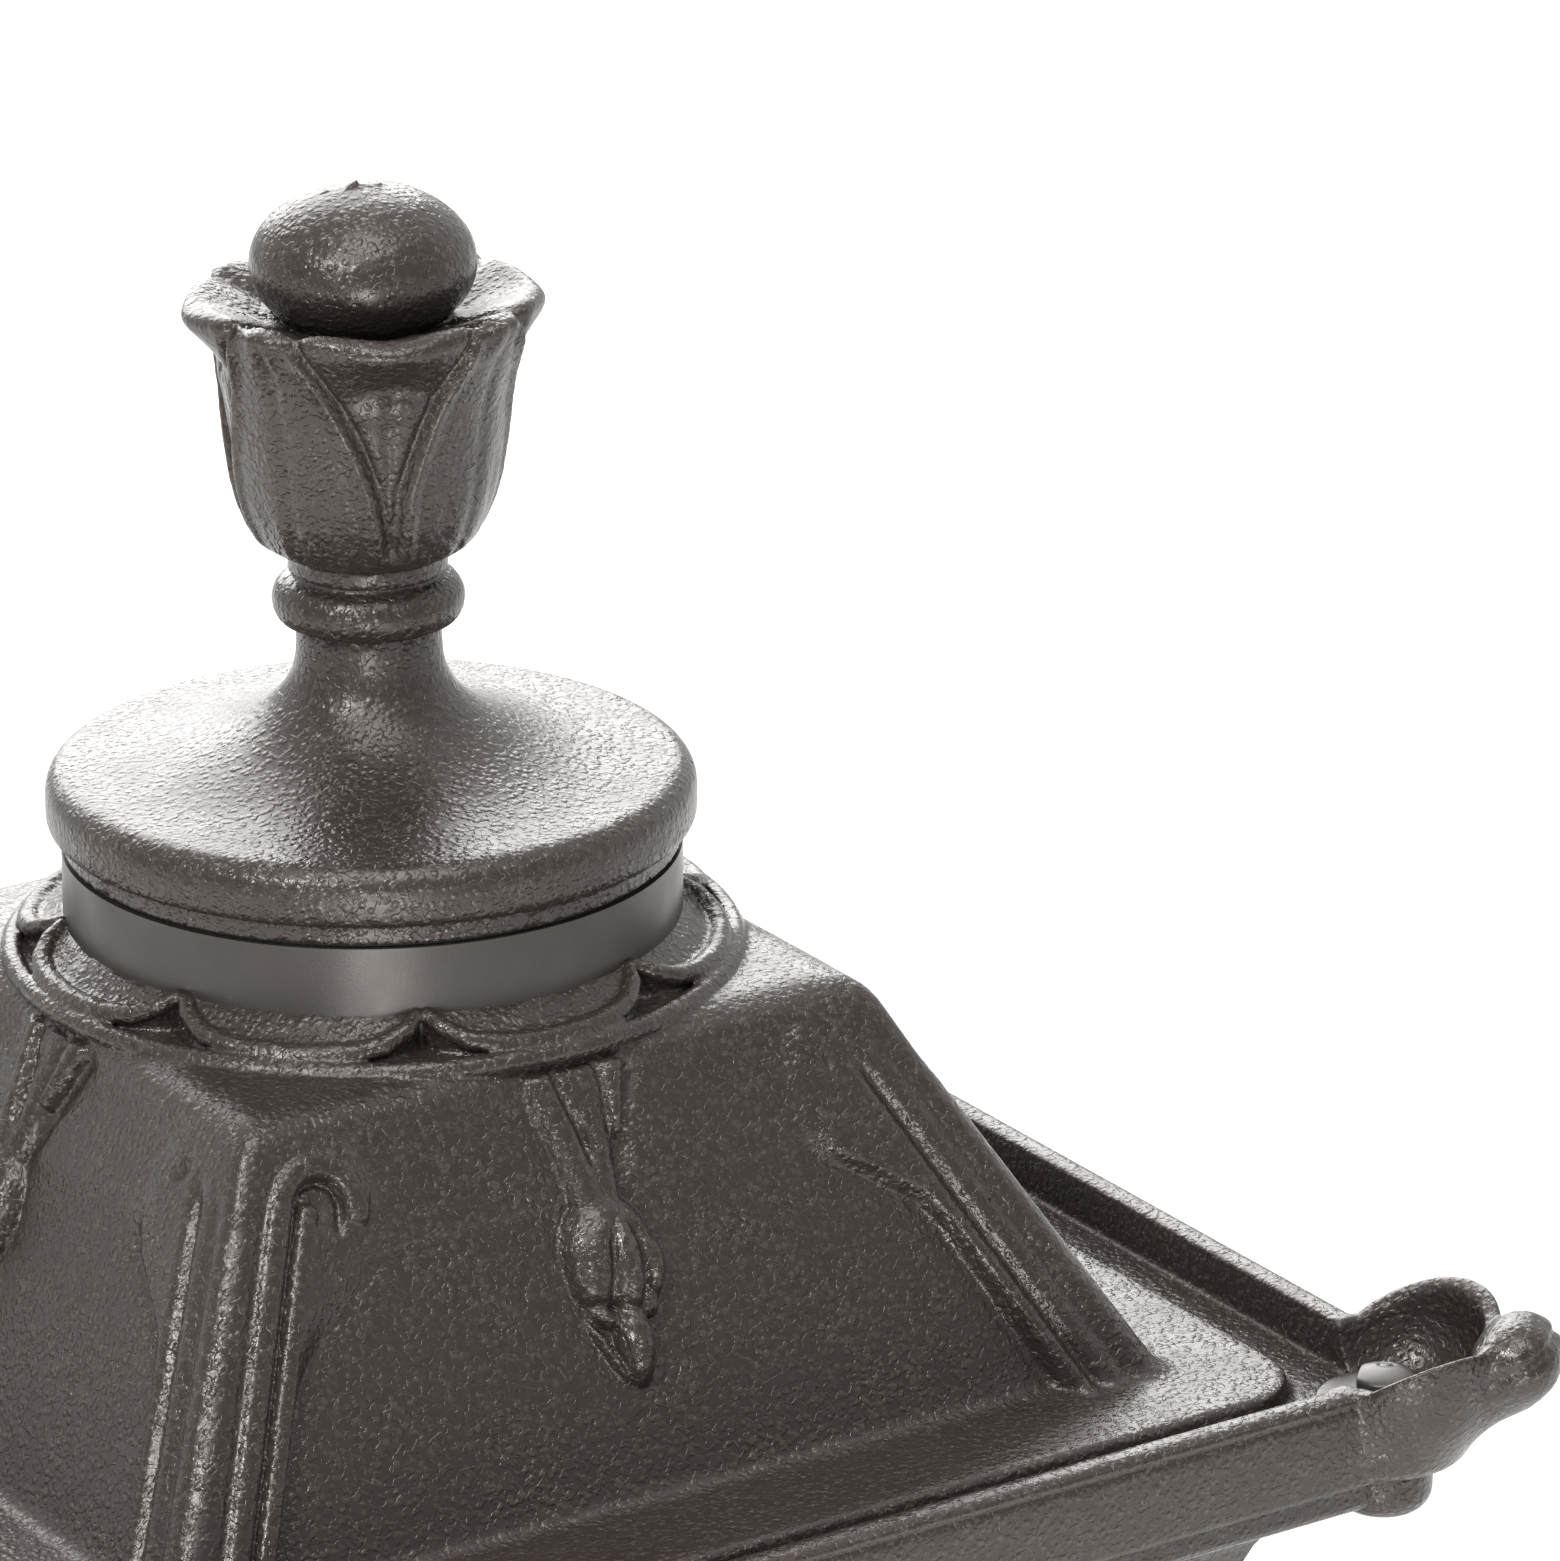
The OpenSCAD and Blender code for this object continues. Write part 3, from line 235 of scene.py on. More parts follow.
def parted(name, axis, place, first, second, rough, metallic=(0.0, 0.0)):
    """A plastic or glass piece that changes colour at one place along an axis."""
    material, tree, shader = finish_of(name)
    spot = tree.nodes.new("ShaderNodeTexCoord")
    split = tree.nodes.new("ShaderNodeSeparateXYZ")
    tree.links.new(spot.outputs["Object"], split.inputs["Vector"])
    edge = ramp(tree, split.outputs[axis], place - 0.1 * MM, place + 0.1 * MM)
    mottle = put(tree, "ShaderNodeGroup", {"node_tree": MOTTLE}, Blotch=9.0 * MM, Tooth=0.6 * MM)
    tint = put(tree, "ShaderNodeMix", {"data_type": "RGBA"})
    tint.inputs[6].default_value = (*first, 1)
    tint.inputs[7].default_value = (*second, 1)
    tree.links.new(edge, tint.inputs["Factor"])
    tree.links.new(tint.outputs[2], shader.inputs["Base Color"])
    if metallic[0] != metallic[1]:
        tree.links.new(ramp(tree, edge, 0.0, 1.0, *metallic), shader.inputs["Metallic"])
    gloss = ramp(tree, mottle.outputs["Blotches"], 0.0, 1.0, rough * 0.9, rough * 1.1)
    tree.links.new(gloss, shader.inputs["Roughness"])
    return material


BULB_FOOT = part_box("led_bulb")[0].z
OPAL = parted("opal_bulb", "Z", BULB_FOOT + CAP_LENGTH, (0.62, 0.62, 0.60), (0.83, 0.82, 0.78), 0.32,
              metallic=(1.0, 0.0))
dress("led_bulb", OPAL)
LEADS = parted("lead_cover", "X", 0.0, (0.16, 0.062, 0.028), (0.034, 0.105, 0.33), 0.42)
dress("lamp_leads", LEADS)

# Cage and glazing
# The cage is one moulding in the same grained resin. Four clear sheets lie in it from
# inside, each pair of edges held by a corner strip and two screws.
dress("cage", GRAINED)
dress("canopy_gasket", RUBBER)
CLEAR = plain_finish("clear_panel", (0.93, 0.94, 0.93), (0.96, 0.97, 0.96), 0.03, 0.001,
                     blotch=30.0, tooth=12.0, Transmission_Weight=1.0, IOR=1.5)
for side in ("front", "back", "left", "right"):
    dress("glass_" + side, CLEAR)
# Its lighter colour is also a painted highlight on the grain's crests.
SMOOTH = resin("smooth_resin", island=0.4 * MM, depth=0.006 * MM, calm=0.2, rough=0.36,
               dark=(0.030, 0.0262, 0.0242, 1), light=(0.048, 0.042, 0.039, 1))
CORNERS = {"front_right": (1, -1), "back_right": (1, 1), "back_left": (-1, 1), "front_left": (-1, -1)}
for corner in CORNERS:
    dress("corner_strip_" + corner, SMOOTH)


def stands_for(piece, node, body, material):
    piece.data.materials.clear()
    piece.data.materials.append(material)
    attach(piece, body)
    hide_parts(node)


HEAD_SIDES = 32
SHANK_SIDES = 20
HEAD_TAPER = 0.80
BLADE_SHARE = 0.24
BITE_SHARE = 1.1


def screw_tree():
    """A pan head screw with a cross recess on every point, its shank along the point's aim."""
    tree = bpy.data.node_groups.new("pan_screws", "GeometryNodeTree")
    tree.interface.new_socket(name="Places", in_out="INPUT", socket_type="NodeSocketGeometry")
    for label in ("Head Radius", "Head Height", "Shank Radius", "Shank Length", "Recess"):
        tree.interface.new_socket(name=label, in_out="INPUT", socket_type="NodeSocketFloat")
    tree.interface.new_socket(name="Finish", in_out="INPUT", socket_type="NodeSocketMaterial")
    tree.interface.new_socket(name="Screws", in_out="OUTPUT", socket_type="NodeSocketGeometry")
    given = tree.nodes.new("NodeGroupInput")
    out = tree.nodes.new("NodeGroupOutput")

    def vector(x=0.0, y=0.0, z=0.0):
        node = tree.nodes.new("ShaderNodeCombineXYZ")
        for place, value in enumerate((x, y, z)):
            if isinstance(value, float):
                node.inputs[place].default_value = value
            else:
                tree.links.new(value, node.inputs[place])
        return node.outputs[0]

    def moved(mesh, z):
        node = tree.nodes.new("GeometryNodeTransform")
        tree.links.new(mesh, node.inputs["Geometry"])
        tree.links.new(vector(z=z), node.inputs["Translation"])
        return node.outputs["Geometry"]

    def cone(sides, bottom, top, depth):
        node = tree.nodes.new("GeometryNodeMeshCone")
        node.inputs["Vertices"].default_value = sides
        tree.links.new(bottom, node.inputs["Radius Bottom"])
        tree.links.new(top, node.inputs["Radius Top"])
        tree.links.new(depth, node.inputs["Depth"])
        return node.outputs["Mesh"]

    radius = given.outputs["Head Radius"]
    height = given.outputs["Head Height"]
    under = sums(tree, "MULTIPLY", height, -1.0)
    head = moved(cone(HEAD_SIDES, sums(tree, "MULTIPLY", radius, HEAD_TAPER), radius, height), under)
    blade = sums(tree, "MULTIPLY", given.outputs["Recess"], BLADE_SHARE)
    bite = sums(tree, "MULTIPLY", height, BITE_SHARE)
    cross = tree.nodes.new("GeometryNodeMeshBoolean")
    cross.operation = "DIFFERENCE"
    tree.links.new(head, cross.inputs["Mesh 1"])
    for wide, narrow in ((given.outputs["Recess"], blade), (blade, given.outputs["Recess"])):
        cube = tree.nodes.new("GeometryNodeMeshCube")
        tree.links.new(vector(wide, narrow, bite), cube.inputs["Size"])
        tree.links.new(moved(cube.outputs["Mesh"], under), cross.inputs["Mesh 2"])
    shank_radius = given.outputs["Shank Radius"]
    shank = cone(SHANK_SIDES, shank_radius, shank_radius, given.outputs["Shank Length"])
    whole = tree.nodes.new("GeometryNodeJoinGeometry")
    tree.links.new(cross.outputs["Mesh"], whole.inputs["Geometry"])
    tree.links.new(moved(shank, -0.05 * MM), whole.inputs["Geometry"])
    aim = tree.nodes.new("GeometryNodeInputNamedAttribute")
    aim.data_type = "FLOAT_VECTOR"
    aim.inputs["Name"].default_value = "aim"
    turn = tree.nodes.new("FunctionNodeAlignRotationToVector")
    turn.axis = "Z"
    tree.links.new(aim.outputs["Attribute"], turn.inputs["Vector"])
    copies = tree.nodes.new("GeometryNodeInstanceOnPoints")
    tree.links.new(given.outputs["Places"], copies.inputs["Points"])
    tree.links.new(whole.outputs["Geometry"], copies.inputs["Instance"])
    tree.links.new(turn.outputs["Rotation"], copies.inputs["Rotation"])
    real = tree.nodes.new("GeometryNodeRealizeInstances")
    tree.links.new(copies.outputs["Instances"], real.inputs["Geometry"])
    finish = tree.nodes.new("GeometryNodeSetMaterial")
    tree.links.new(real.outputs["Geometry"], finish.inputs["Geometry"])
    tree.links.new(given.outputs["Finish"], finish.inputs["Material"])
    tree.links.new(finish.outputs["Geometry"], out.inputs["Screws"])
    return tree


SCREW_TREE = screw_tree()


def screws(node, places, aims, sizes):
    """Screws at these places in millimetres, in place of one node of the frame."""
    mesh = bpy.data.meshes.new(node)
    mesh.from_pydata([tuple(v * MM for v in place) for place in places], [], [])
    lines = mesh.attributes.new("aim", "FLOAT_VECTOR", "POINT")
    lines.data.foreach_set("vector", [v for aim in aims for v in aim])
    piece = bpy.data.objects.new(node + "_crossed", mesh)
    bpy.context.scene.collection.objects.link(piece)
    maker = piece.modifiers.new("screws", "NODES")
    maker.node_group = SCREW_TREE
    for item in SCREW_TREE.interface.items_tree:
        if item.name in sizes:
            maker[item.identifier] = sizes[item.name] * MM
        elif item.name == "Finish":
            maker[item.identifier] = ZINC
    graph = bpy.context.evaluated_depsgraph_get()
    made = bpy.data.meshes.new_from_object(piece.evaluated_get(graph))
    piece.modifiers.clear()
    piece.data = made
    stands_for(piece, node, "root", ZINC)


PAN_HEAD = {"Head Radius": 3.6, "Head Height": 2.2, "Shank Radius": 1.9, "Recess": 3.6}
SMALL_HEAD = {"Head Radius": 2.8, "Head Height": 1.2, "Shank Radius": 1.5, "Recess": 3.0}


def upright_screws(node, shank_length):
    """Four pan head screws, one at each corner, where the frame has them."""
    low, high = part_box(node)
    at = high.x / MM - PAN_HEAD["Head Radius"]
    up = low.z / MM + PAN_HEAD["Head Height"]
    places = [(sx * at, sy * at, up) for sx, sy in CORNERS.values()]
    screws(node, places, [(0, 0, 1)] * len(places), dict(PAN_HEAD, **{"Shank Length": shank_length}))


upright_screws("base_screws", 15.0)

# The strip screws' height above the ground and distance from the lantern's axis.
LOW_SCREW = (119.5, 92.3)
HIGH_SCREW = (213.7, 113.5)
LEAN = math.atan2(HIGH_SCREW[1] - LOW_SCREW[1], HIGH_SCREW[0] - LOW_SCREW[0])
DIAGONAL = math.sqrt(0.5)
strip_places = []
strip_aims = []
for sx, sy in CORNERS.values():
    for up, out in (LOW_SCREW, HIGH_SCREW):
        strip_places.append((sx * out * DIAGONAL, sy * out * DIAGONAL, up))
        strip_aims.append((sx * math.cos(LEAN) * DIAGONAL, sy * math.cos(LEAN) * DIAGONAL, -math.sin(LEAN)))
screws("strip_screws", strip_places, strip_aims, dict(SMALL_HEAD, **{"Shank Length": 14.0}))

# Canopy
# The hipped roof, its gutter and rim, the moulded ring under the collar and the four
# open corner shells are one injection moulding in grained dark resin. It sits on the
# cage's flange over a soft gasket and is held by the four lock pegs.
FASCIA = -11.5
PLATE_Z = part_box("canopy")[0].z / MM - FASCIA
CELL = 0.4
ROOF_H = 63.0
ROOF_FOOT = 88.0
ROOF_TOP = 56.0
ROOF_ANGLE = math.atan2(ROOF_H, ROOF_FOOT - ROOF_TOP)
SIN_A = math.sin(ROOF_ANGLE)
COS_A = math.cos(ROOF_ANGLE)
FACE_LEN = ROOF_H / SIN_A
HIP_LEAN = math.atan(COS_A)
SUNK = -2.4        # how far an ornament's height reads below the face where there is none


def soft_join(first, second, fillet):
    """Two solids as one, with a fillet where they meet (distances are below zero inside)."""
    share = np.clip(0.5 + 0.5 * (second - first) / fillet, 0, 1)
    return second + (first - second) * share - fillet * share * (1 - share)


def soft_meet(first, second, round_over):
    """What two solids share, with a rounded edge."""
    return -soft_join(-first, -second, round_over)


def glide(low, high, value):
    t = np.clip((value - low) / (high - low), 0, 1)
    return t * t * (3 - 2 * t)


def mix(first, second, share):
    return first + (second - first) * share


def bump_at(distance, width):
    return np.exp(-(distance / width) ** 2)


def swell(x, s, centre, half, rise, turn):
    """Height of a rounded swelling on a roof face; it is turned by some degrees."""
    c = math.cos(math.radians(turn))
    d = math.sin(math.radians(turn))
    along = (x - centre[0]) * c + (s - centre[1]) * d
    across = (s - centre[1]) * c - (x - centre[0]) * d
    left = 1 - (along / half[0]) ** 2 - (across / half[1]) ** 2
    return np.where(left > 0, SUNK + (rise - SUNK) * np.sqrt(np.clip(left, 0, 1)), SUNK)


def round_back(distance, half, top):
    """Height of a band with a round back and steep shoulders."""
    return top - 1.3 * (distance / half) ** 4


def hip_relief(x, s):
    """Three reeds run down beside each hip; on the left one curls over the inner one,
    on the right they run out into a smooth raised place with a small crease.
    Up and out are measured from the arch's middle, along the hip and towards it."""
    reach = np.abs(x)
    arched = x < 0
    lift = np.clip(2.0 - 0.0363 * s, 0, None)
    edge_s = (0, 30, 34.5, 40, 45.2, 50.7, 57, 63.6, 70)
    edge_x = (71.5, 57.9, 54.6, 47.6, 40.2, 36.6, 36.4, 38.6, 43)
    edge = np.interp(s, edge_s, edge_x)
    floor = mix(-1.7, -1.0, glide(46.0, 50.0, s))
    floor = mix(floor, 0.0, glide(64.6, 67.6, s))

    arch_x = 47.3
    arch_s = 56.2
    arch_r = 6.4
    c = math.cos(HIP_LEAN)
    d = math.sin(HIP_LEAN)
    up = (s - arch_s) * c - (reach - arch_x) * d
    out = (reach - arch_x) * c + (s - arch_s) * d
    round_top = np.where(up > 0, np.hypot(up, out), np.abs(out))
    middle = np.abs(round_top - arch_r)
    inside = 1 - glide(arch_r - 1.0, arch_r + 1.0, round_top)

    brow = arch_x - 9.2 + 0.25 * (s - arch_s)
    inner_edge = arch_x + (0.6 - d * (s - arch_s)) / c
    inner_edge = mix(inner_edge, brow, glide(49.0, 58.5, s))
    inner_edge = np.where(arched, inner_edge, np.minimum(inner_edge, edge + 4.2))
    share = np.clip((reach - edge) / np.maximum(inner_edge - edge, 2.4), 0, 1)
    base = mix(floor, lift - 0.1, glide(0.0, 1.0, share))
    base = base - 0.3 * bump_at(reach - edge + 0.7, 0.8) * glide(49.0, 45.0, s)
    base = base - 0.45 * bump_at(out - 9.1, 0.9) * glide(64.0, 56.0, s)
    outer_reed = round_back(out - 11.7, 2.6, lift + 0.15) - 1.2 * glide(52.0, 62.0, s)
    base = -soft_join(-base, -np.where(out > 6.0, outer_reed, -9.0), 0.35)

    groove = 1.3 * bump_at(middle - 2.6, 0.8) * inside * np.where(out > 0, 1.0, glide(-5.0, -1.0, up))
    hood = 1.5 * bump_at(np.hypot(up - 0.6, out - 0.2), 3.6) * inside
    left = base - groove - hood * glide(-6.0, -1.0, up)
    arch = round_back(middle, 2.1, lift + 0.75) - 6.5 * glide(0.5, -5.5, up) * (out < 0)
    left = -soft_join(-left, -arch, 0.35)
    tip = np.where(up < -1.4, np.abs(out - 1.6), np.hypot(up + 1.4, out - 1.6))
    left = -soft_join(-left, -round_back(tip, 1.75, lift + 0.35), 0.35)

    crease = 0.8 * bump_at(reach - 45.2 - 0.15 * (s - 59), 0.8) * bump_at(s - 59.6, 2.4)
    right = base - 1.25 * bump_at(out - 3.9, 1.0) * glide(63.0, 54.0, s) - crease
    ridge = 0.35 * bump_at(out - 6.5, 1.7) + 0.30 * bump_at(out - 1.2, 1.6)
    right = right + ridge * glide(60.0, 48.0, s)
    return np.where(arched, left, right)


def petal(x, s, foot, head, halves, rise):
    """A tapered swelling on a roof face, with a round foot."""
    share = np.clip((s - foot[1]) / (head[1] - foot[1]), 0, 1)
    centre = mix(foot[0], head[0], share)
    half = mix(halves[0], halves[1], share)
    past = np.clip(foot[1] - s, 0, None)
    left = 1 - ((x - centre) / half) ** 2 - (past / halves[0]) ** 2
    return SUNK + (rise - SUNK) * np.clip(left, 0, 1) ** 0.38


def drop_relief(x, s):
    """A leaf of three petals over a bud of three lobes, with a torn twig and a tip under it."""
    petals = (
        ((-2.2, 47.0), (-4.4, 67.0), (3.0, 4.4), 1.3),
        ((1.0, 47.0), (1.7, 67.0), (2.6, 4.0), 0.8),
        ((5.2, 57.0), (7.2, 67.0), (1.2, 2.9), 1.3),
    )
    leaf = np.full(np.broadcast(x, s).shape, SUNK)
    for foot, head, halves, rise in petals:
        leaf = -soft_join(-leaf, -petal(x, s, foot, head, halves, rise), 0.35)
    flute = np.interp(s, (50, 57.4, 65.2), (0.2, -0.9, -3.0))
    leaf = leaf - 1.5 * bump_at(x - flute, 0.9) * glide(50.0, 57.0, s) * (leaf > -2.0)
    leaf_top = 67.2
    leaf = np.where(s > leaf_top, leaf - (s - leaf_top) * 1.6, leaf)
    bud = swell(x, s, (-0.7, 38.4), (8.3, 10.2), 3.7, 3)
    crease_l = np.interp(s, (28, 34, 40, 45), (-3.4, -2.6, -1.6, 0.2))
    crease_r = np.interp(s, (28, 34, 40, 45), (2.4, 3.6, 3.4, 2.0))
    split = glide(46.5, 39.0, s)
    bud = bud - split * (1.5 * bump_at(x - crease_l, 0.85) + 1.7 * bump_at(x - crease_r, 0.85))
    bud = bud - 1.3 * bump_at(s - 31.6 + 0.10 * (x - 1.0) ** 2, 1.0) * (np.abs(x) < 9)
    drop = -soft_join(-leaf, -bud, 0.4)
    lobes = (
        ((-5.2, 35.0), (3.5, 4.3), 2.5, 8),
        ((0.6, 34.4), (2.9, 5.6), 4.0, 0),
        ((5.7, 35.6), (2.3, 5.4), 2.3, -8),
        ((-0.2, 24.8), (3.4, 7.2), 2.6, -3),
        ((-3.9, 29.3), (3.9, 1.7), 0.9, -38),
        ((-5.0, 24.2), (0.9, 6.6), 0.2, 24),
        ((3.6, 29.9), (2.4, 2.2), 0.9, 35),
    )
    for centre, half_size, rise, turn in lobes:
        drop = -soft_join(-drop, -swell(x, s, centre, half_size, rise, turn), 0.45)
    ripple = 0.22 * np.sin(1.9 * s + 0.8 * x) * bump_at(s - 29.0, 6.0)
    return np.where(drop > -1.6, drop + ripple, drop)


DROP_HALF = 16


def face_relief(x, s):
    """A face's heights: x is across from its middle line, s is up its slope from the foot."""
    valley = 1.1 * bump_at(x - np.interp(s, (47, 57, 66), (3.8, 7.2, 10.8)), 1.5)
    valley = valley * glide(45.0, 49.0, s) * glide(69.0, 65.0, s)
    base = hip_relief(x, s) - valley
    return np.where(np.abs(x) < DROP_HALF, -soft_join(-base, -drop_relief(x, s), 0.5), base)


def roof_face(across, out, z):
    """Distance from one roof face with its relief, read from a fine chart of the face."""
    s = z * SIN_A - (out - ROOF_FOOT) * COS_A
    h = z * COS_A + (out - ROOF_FOOT) * SIN_A
    step = 0.15
    margin = 6
    chart_s = np.arange(-margin, FACE_LEN + margin, step)
    across_line = across.ravel()
    chart = face_relief(across_line[:, None], chart_s[None, :]).astype(np.float32)
    row = np.clip((s + margin) / step, 0, len(chart_s) - 1.001)
    low = row.astype(np.int32)
    part = (row - low).astype(np.float32)
    column = np.arange(len(across_line)).reshape(across.shape)
    relief = chart[column, low] * (1 - part) + chart[column, low + 1] * part
    return h - relief


FAR = 9.0
HALF_SCROLL = 22.5
RING_BED_TOP = 63.5
# A scroll's rib from its tip to its middle: distance along from the tip, distance from
# the lantern's axis, height and half thickness.
SCROLL_PATH = ((0.9, 49.4, 69.0, 1.15), (2.7, 51.5, 67.9, 1.35), (6.6, 53.6, 66.2, 1.55),
               (12.0, 54.6, 65.3, 1.65), (22.0, 55.0, 64.9, 1.7))


def ring_moulding(x, y, z):
    """Eight dished scrolls round the collar, tip to tip, over a round bead."""
    rho = np.hypot(x, y)
    turn = np.degrees(np.arctan2(y, x))
    joint = np.abs(turn % (2 * HALF_SCROLL) - HALF_SCROLL)
    along = np.radians(joint) * rho
    scroll = np.full(np.broadcast(x, y, z).shape, FAR, np.float32)
    for (a0, r0, z0, w0), (a1, r1, z1, w1) in zip(SCROLL_PATH, SCROLL_PATH[1:]):
        da = a1 - a0
        dr = r1 - r0
        t = np.clip(((along - a0) * da + (rho - r0) * dr) / (da * da + dr * dr), 0, 1)
        flat = np.hypot(along - a0 - t * da, rho - r0 - t * dr)
        scroll = np.minimum(scroll, np.hypot(flat, z - z0 - t * (z1 - z0)) - mix(w0, w1, t))
    lip = np.interp(joint.ravel(), (0.4, 1.1, 3.0, 7.0, 12.5, 22.5),
                    (48.6, 49.4, 51.5, 53.6, 54.6, 55.0)).reshape(joint.shape)
    dish = np.interp(rho.ravel(), (48.4, 50, 52.5, 55.2), (69.3, 68.1, 66.2, 64.4)).reshape(rho.shape)
    pan = soft_meet(0.8 * (z - dish), rho - lip, 0.4)
    bed = np.maximum(z - RING_BED_TOP, rho - 56.3)
    bead = np.hypot(rho - 56.8, z - 63.0) - 1.7
    ring = soft_join(np.minimum(bed, bead), soft_join(pan, scroll, 0.9), 0.9)
    return np.maximum(ring, RING_BED_TOP - 2.0 - z)


def slab(x, y, half, corner):
    """Distance from an upright square prism with rounded corners."""
    qx = np.abs(x) - half + corner
    qy = np.abs(y) - half + corner
    return np.hypot(np.clip(qx, 0, None), np.clip(qy, 0, None)) + np.minimum(np.maximum(qx, qy), 0) - corner


def rod(x, y, z, start, end, r0, r1):
    """Distance from a straight rod with round ends."""
    axis = [b - a for a, b in zip(start, end)]
    length2 = sum(v * v for v in axis)
    t = ((x - start[0]) * axis[0] + (y - start[1]) * axis[1] + (z - start[2]) * axis[2]) / length2
    t = np.clip(t, 0, 1)
    off_x, off_y, off_z = [at - a - t * d for at, a, d in zip((x, y, z), start, axis)]
    return np.sqrt(off_x ** 2 + off_y ** 2 + off_z ** 2) - mix(r0, r1, t)


def oval_ball(flat, rise, radius, half):
    """Distance from a ball that is squashed or drawn out along its axis."""
    k0 = np.sqrt((flat / radius) ** 2 + (rise / half) ** 2)
    k1 = np.sqrt((flat / radius ** 2) ** 2 + (rise / half ** 2) ** 2) + 1e-6
    return k0 * (k0 - 1) / k1


PEG_AT = 114.3
PEG_BORE_R = 3.5
POCKET_R = 10.95
POT_R = 13.8
BOSS_R = 8.5
BRIM = 122.5
INNER_BRIM = BRIM - 5.0
RIM_TOP = 4.3
RIM_HALF = 2.4
GUTTER = -3.5
WALL = 2.8
THROAT_R = 42.0
LOBES = (((119.5, 111.0), 16.0), ((115.6, 120.3), 12.2))


def lobe_wall(x, y, z, centre, radius, depth):
    """A bowl standing on its round end, straight above its widest line."""
    drop = np.clip(6.0 - z, 0, None)
    flat = np.hypot(x - centre[0], y + centre[1])
    return oval_ball(flat, drop, radius, depth)


def corner_shell(x, y, z):
    """Two flared lobes, the curled leaf tip and its keel; then the hollow inside them."""
    from_peg = np.hypot(x - PEG_AT, y + PEG_AT)
    hollow = np.maximum(from_peg - POCKET_R, GUTTER - z)
    lobes = []
    for (centre, radius), outward, flare in zip(LOBES, (x, -y), (0.62, 0.74)):
        body = lobe_wall(x, y, z, centre, radius, 17.6)
        lip = 0.85 * (z - RIM_TOP - flare * np.clip(outward - BRIM, 0, None))
        body = soft_meet(body, lip, 1.3)
        lobes.append(soft_meet(body, INNER_BRIM - outward, 0.8))
        inside = np.maximum(lobe_wall(x, y, z, centre, radius - WALL, 13.5), GUTTER - z)
        hollow = np.minimum(hollow, inside)
    outer = soft_join(lobes[0], lobes[1], 1.2)
    pot = np.maximum(from_peg - POT_R, z - RIM_TOP)
    pot = soft_meet(pot, -11.2 - z, 5.0)
    pot = np.maximum(pot, np.minimum(INNER_BRIM - x, INNER_BRIM + y))
    outer = soft_join(outer, pot, 1.0)
    keel = rod(x, y, z, (117, -117, -5.5), (127.6, -127.6, 2.6), 5.6, 5.2)
    outer = soft_join(outer, keel, 4.0)
    shell = soft_meet(outer, -hollow, 0.9)
    curl = rod(x, y, z, (128.1, -130.6, 7.2), (130.6, -128.1, 7.2), 6.6, 6.6)
    curl = curl + 0.7 * bump_at(z - 9.2 - 0.45 * (x - y - 262), 1.0)
    return soft_join(shell, np.maximum(curl, -0.9 * hollow - 0.4), 3.2), hollow


def canopy_solid(x, y, z):
    """Distance from the whole moulding; x is to the right and y is below zero."""
    front = roof_face(x, -y, z)
    right = roof_face(y, x, z)
    roof = soft_meet(front, right, 3.0)
    roof = soft_meet(roof, z - ROOF_H, 5.0)
    if z.max() > RING_BED_TOP:
        roof = soft_join(roof, ring_moulding(x, y, z), 0.7)
    core = soft_meet(slab(x, y, ROOF_FOOT - 3.0, 1.0) + z * COS_A / SIN_A, z - ROOF_H + WALL, 1.0)
    if z.min() > RIM_TOP:
        solid = roof
    else:
        plate = soft_meet(slab(x, y, 107.5, 14.0), z, 1.6)
        brim = soft_meet(slab(x, y, BRIM, 5.0), z - GUTTER, 0.3)
        along = np.where(x > -y, -y, x)
        out = np.maximum(x, -y)
        wall = np.abs(out - (BRIM - RIM_HALF)) - RIM_HALF
        stop = np.where(x > -y, 95.0, 106.0)
        end = np.hypot(np.clip(along - stop, 0, None), out - (BRIM - RIM_HALF)) - RIM_HALF
        wall = np.where(along > stop, end, wall)
        bevel = 0.707 * ((z - RIM_TOP) + (out - BRIM) + 1.0)
        wall = soft_meet(np.maximum(wall, bevel), z - RIM_TOP, 0.8)
        step = 0.55 * bump_at(z - (RIM_TOP - 2.0), 0.45) * (out > BRIM - 1.5)
        wall = np.maximum(wall + step, GUTTER - 1 - z)
        solid = soft_join(soft_join(plate, brim, 1.4), wall, 0.9)
        shell, hollow = corner_shell(x, y, z)
        solid = np.maximum(solid, -np.maximum(hollow, GUTTER - z))
        solid = soft_join(solid, shell, 0.6)
        solid = soft_join(solid, np.maximum(roof, -1.0 - z), 2.2)
        pan = np.maximum(slab(x, y, BRIM - 3.0, 4.0), z - (GUTTER - WALL))
        from_peg = np.hypot(x - PEG_AT, y + PEG_AT)
        pan = np.maximum(pan, BOSS_R - from_peg)
        solid = np.maximum(solid, -pan)
        solid = np.maximum(solid, PEG_BORE_R - from_peg)
        solid = soft_meet(solid, FASCIA - z, 0.6)
    solid = np.maximum(solid, -core)
    return np.maximum(solid, THROAT_R - np.hypot(x, y))


def four_turns(quarter):
    """The front right quarter and its three turned copies, as one block."""
    n = quarter.shape[0]
    whole = np.empty((2 * n, 2 * n, quarter.shape[2]), np.float32)
    whole[n:, :n] = quarter[:, ::-1]
    whole[n:, n:] = quarter.transpose(1, 0, 2)
    whole[:n, n:] = quarter[::-1]
    whole[:n, :n] = quarter.transpose(1, 0, 2)[::-1, ::-1]
    return whole


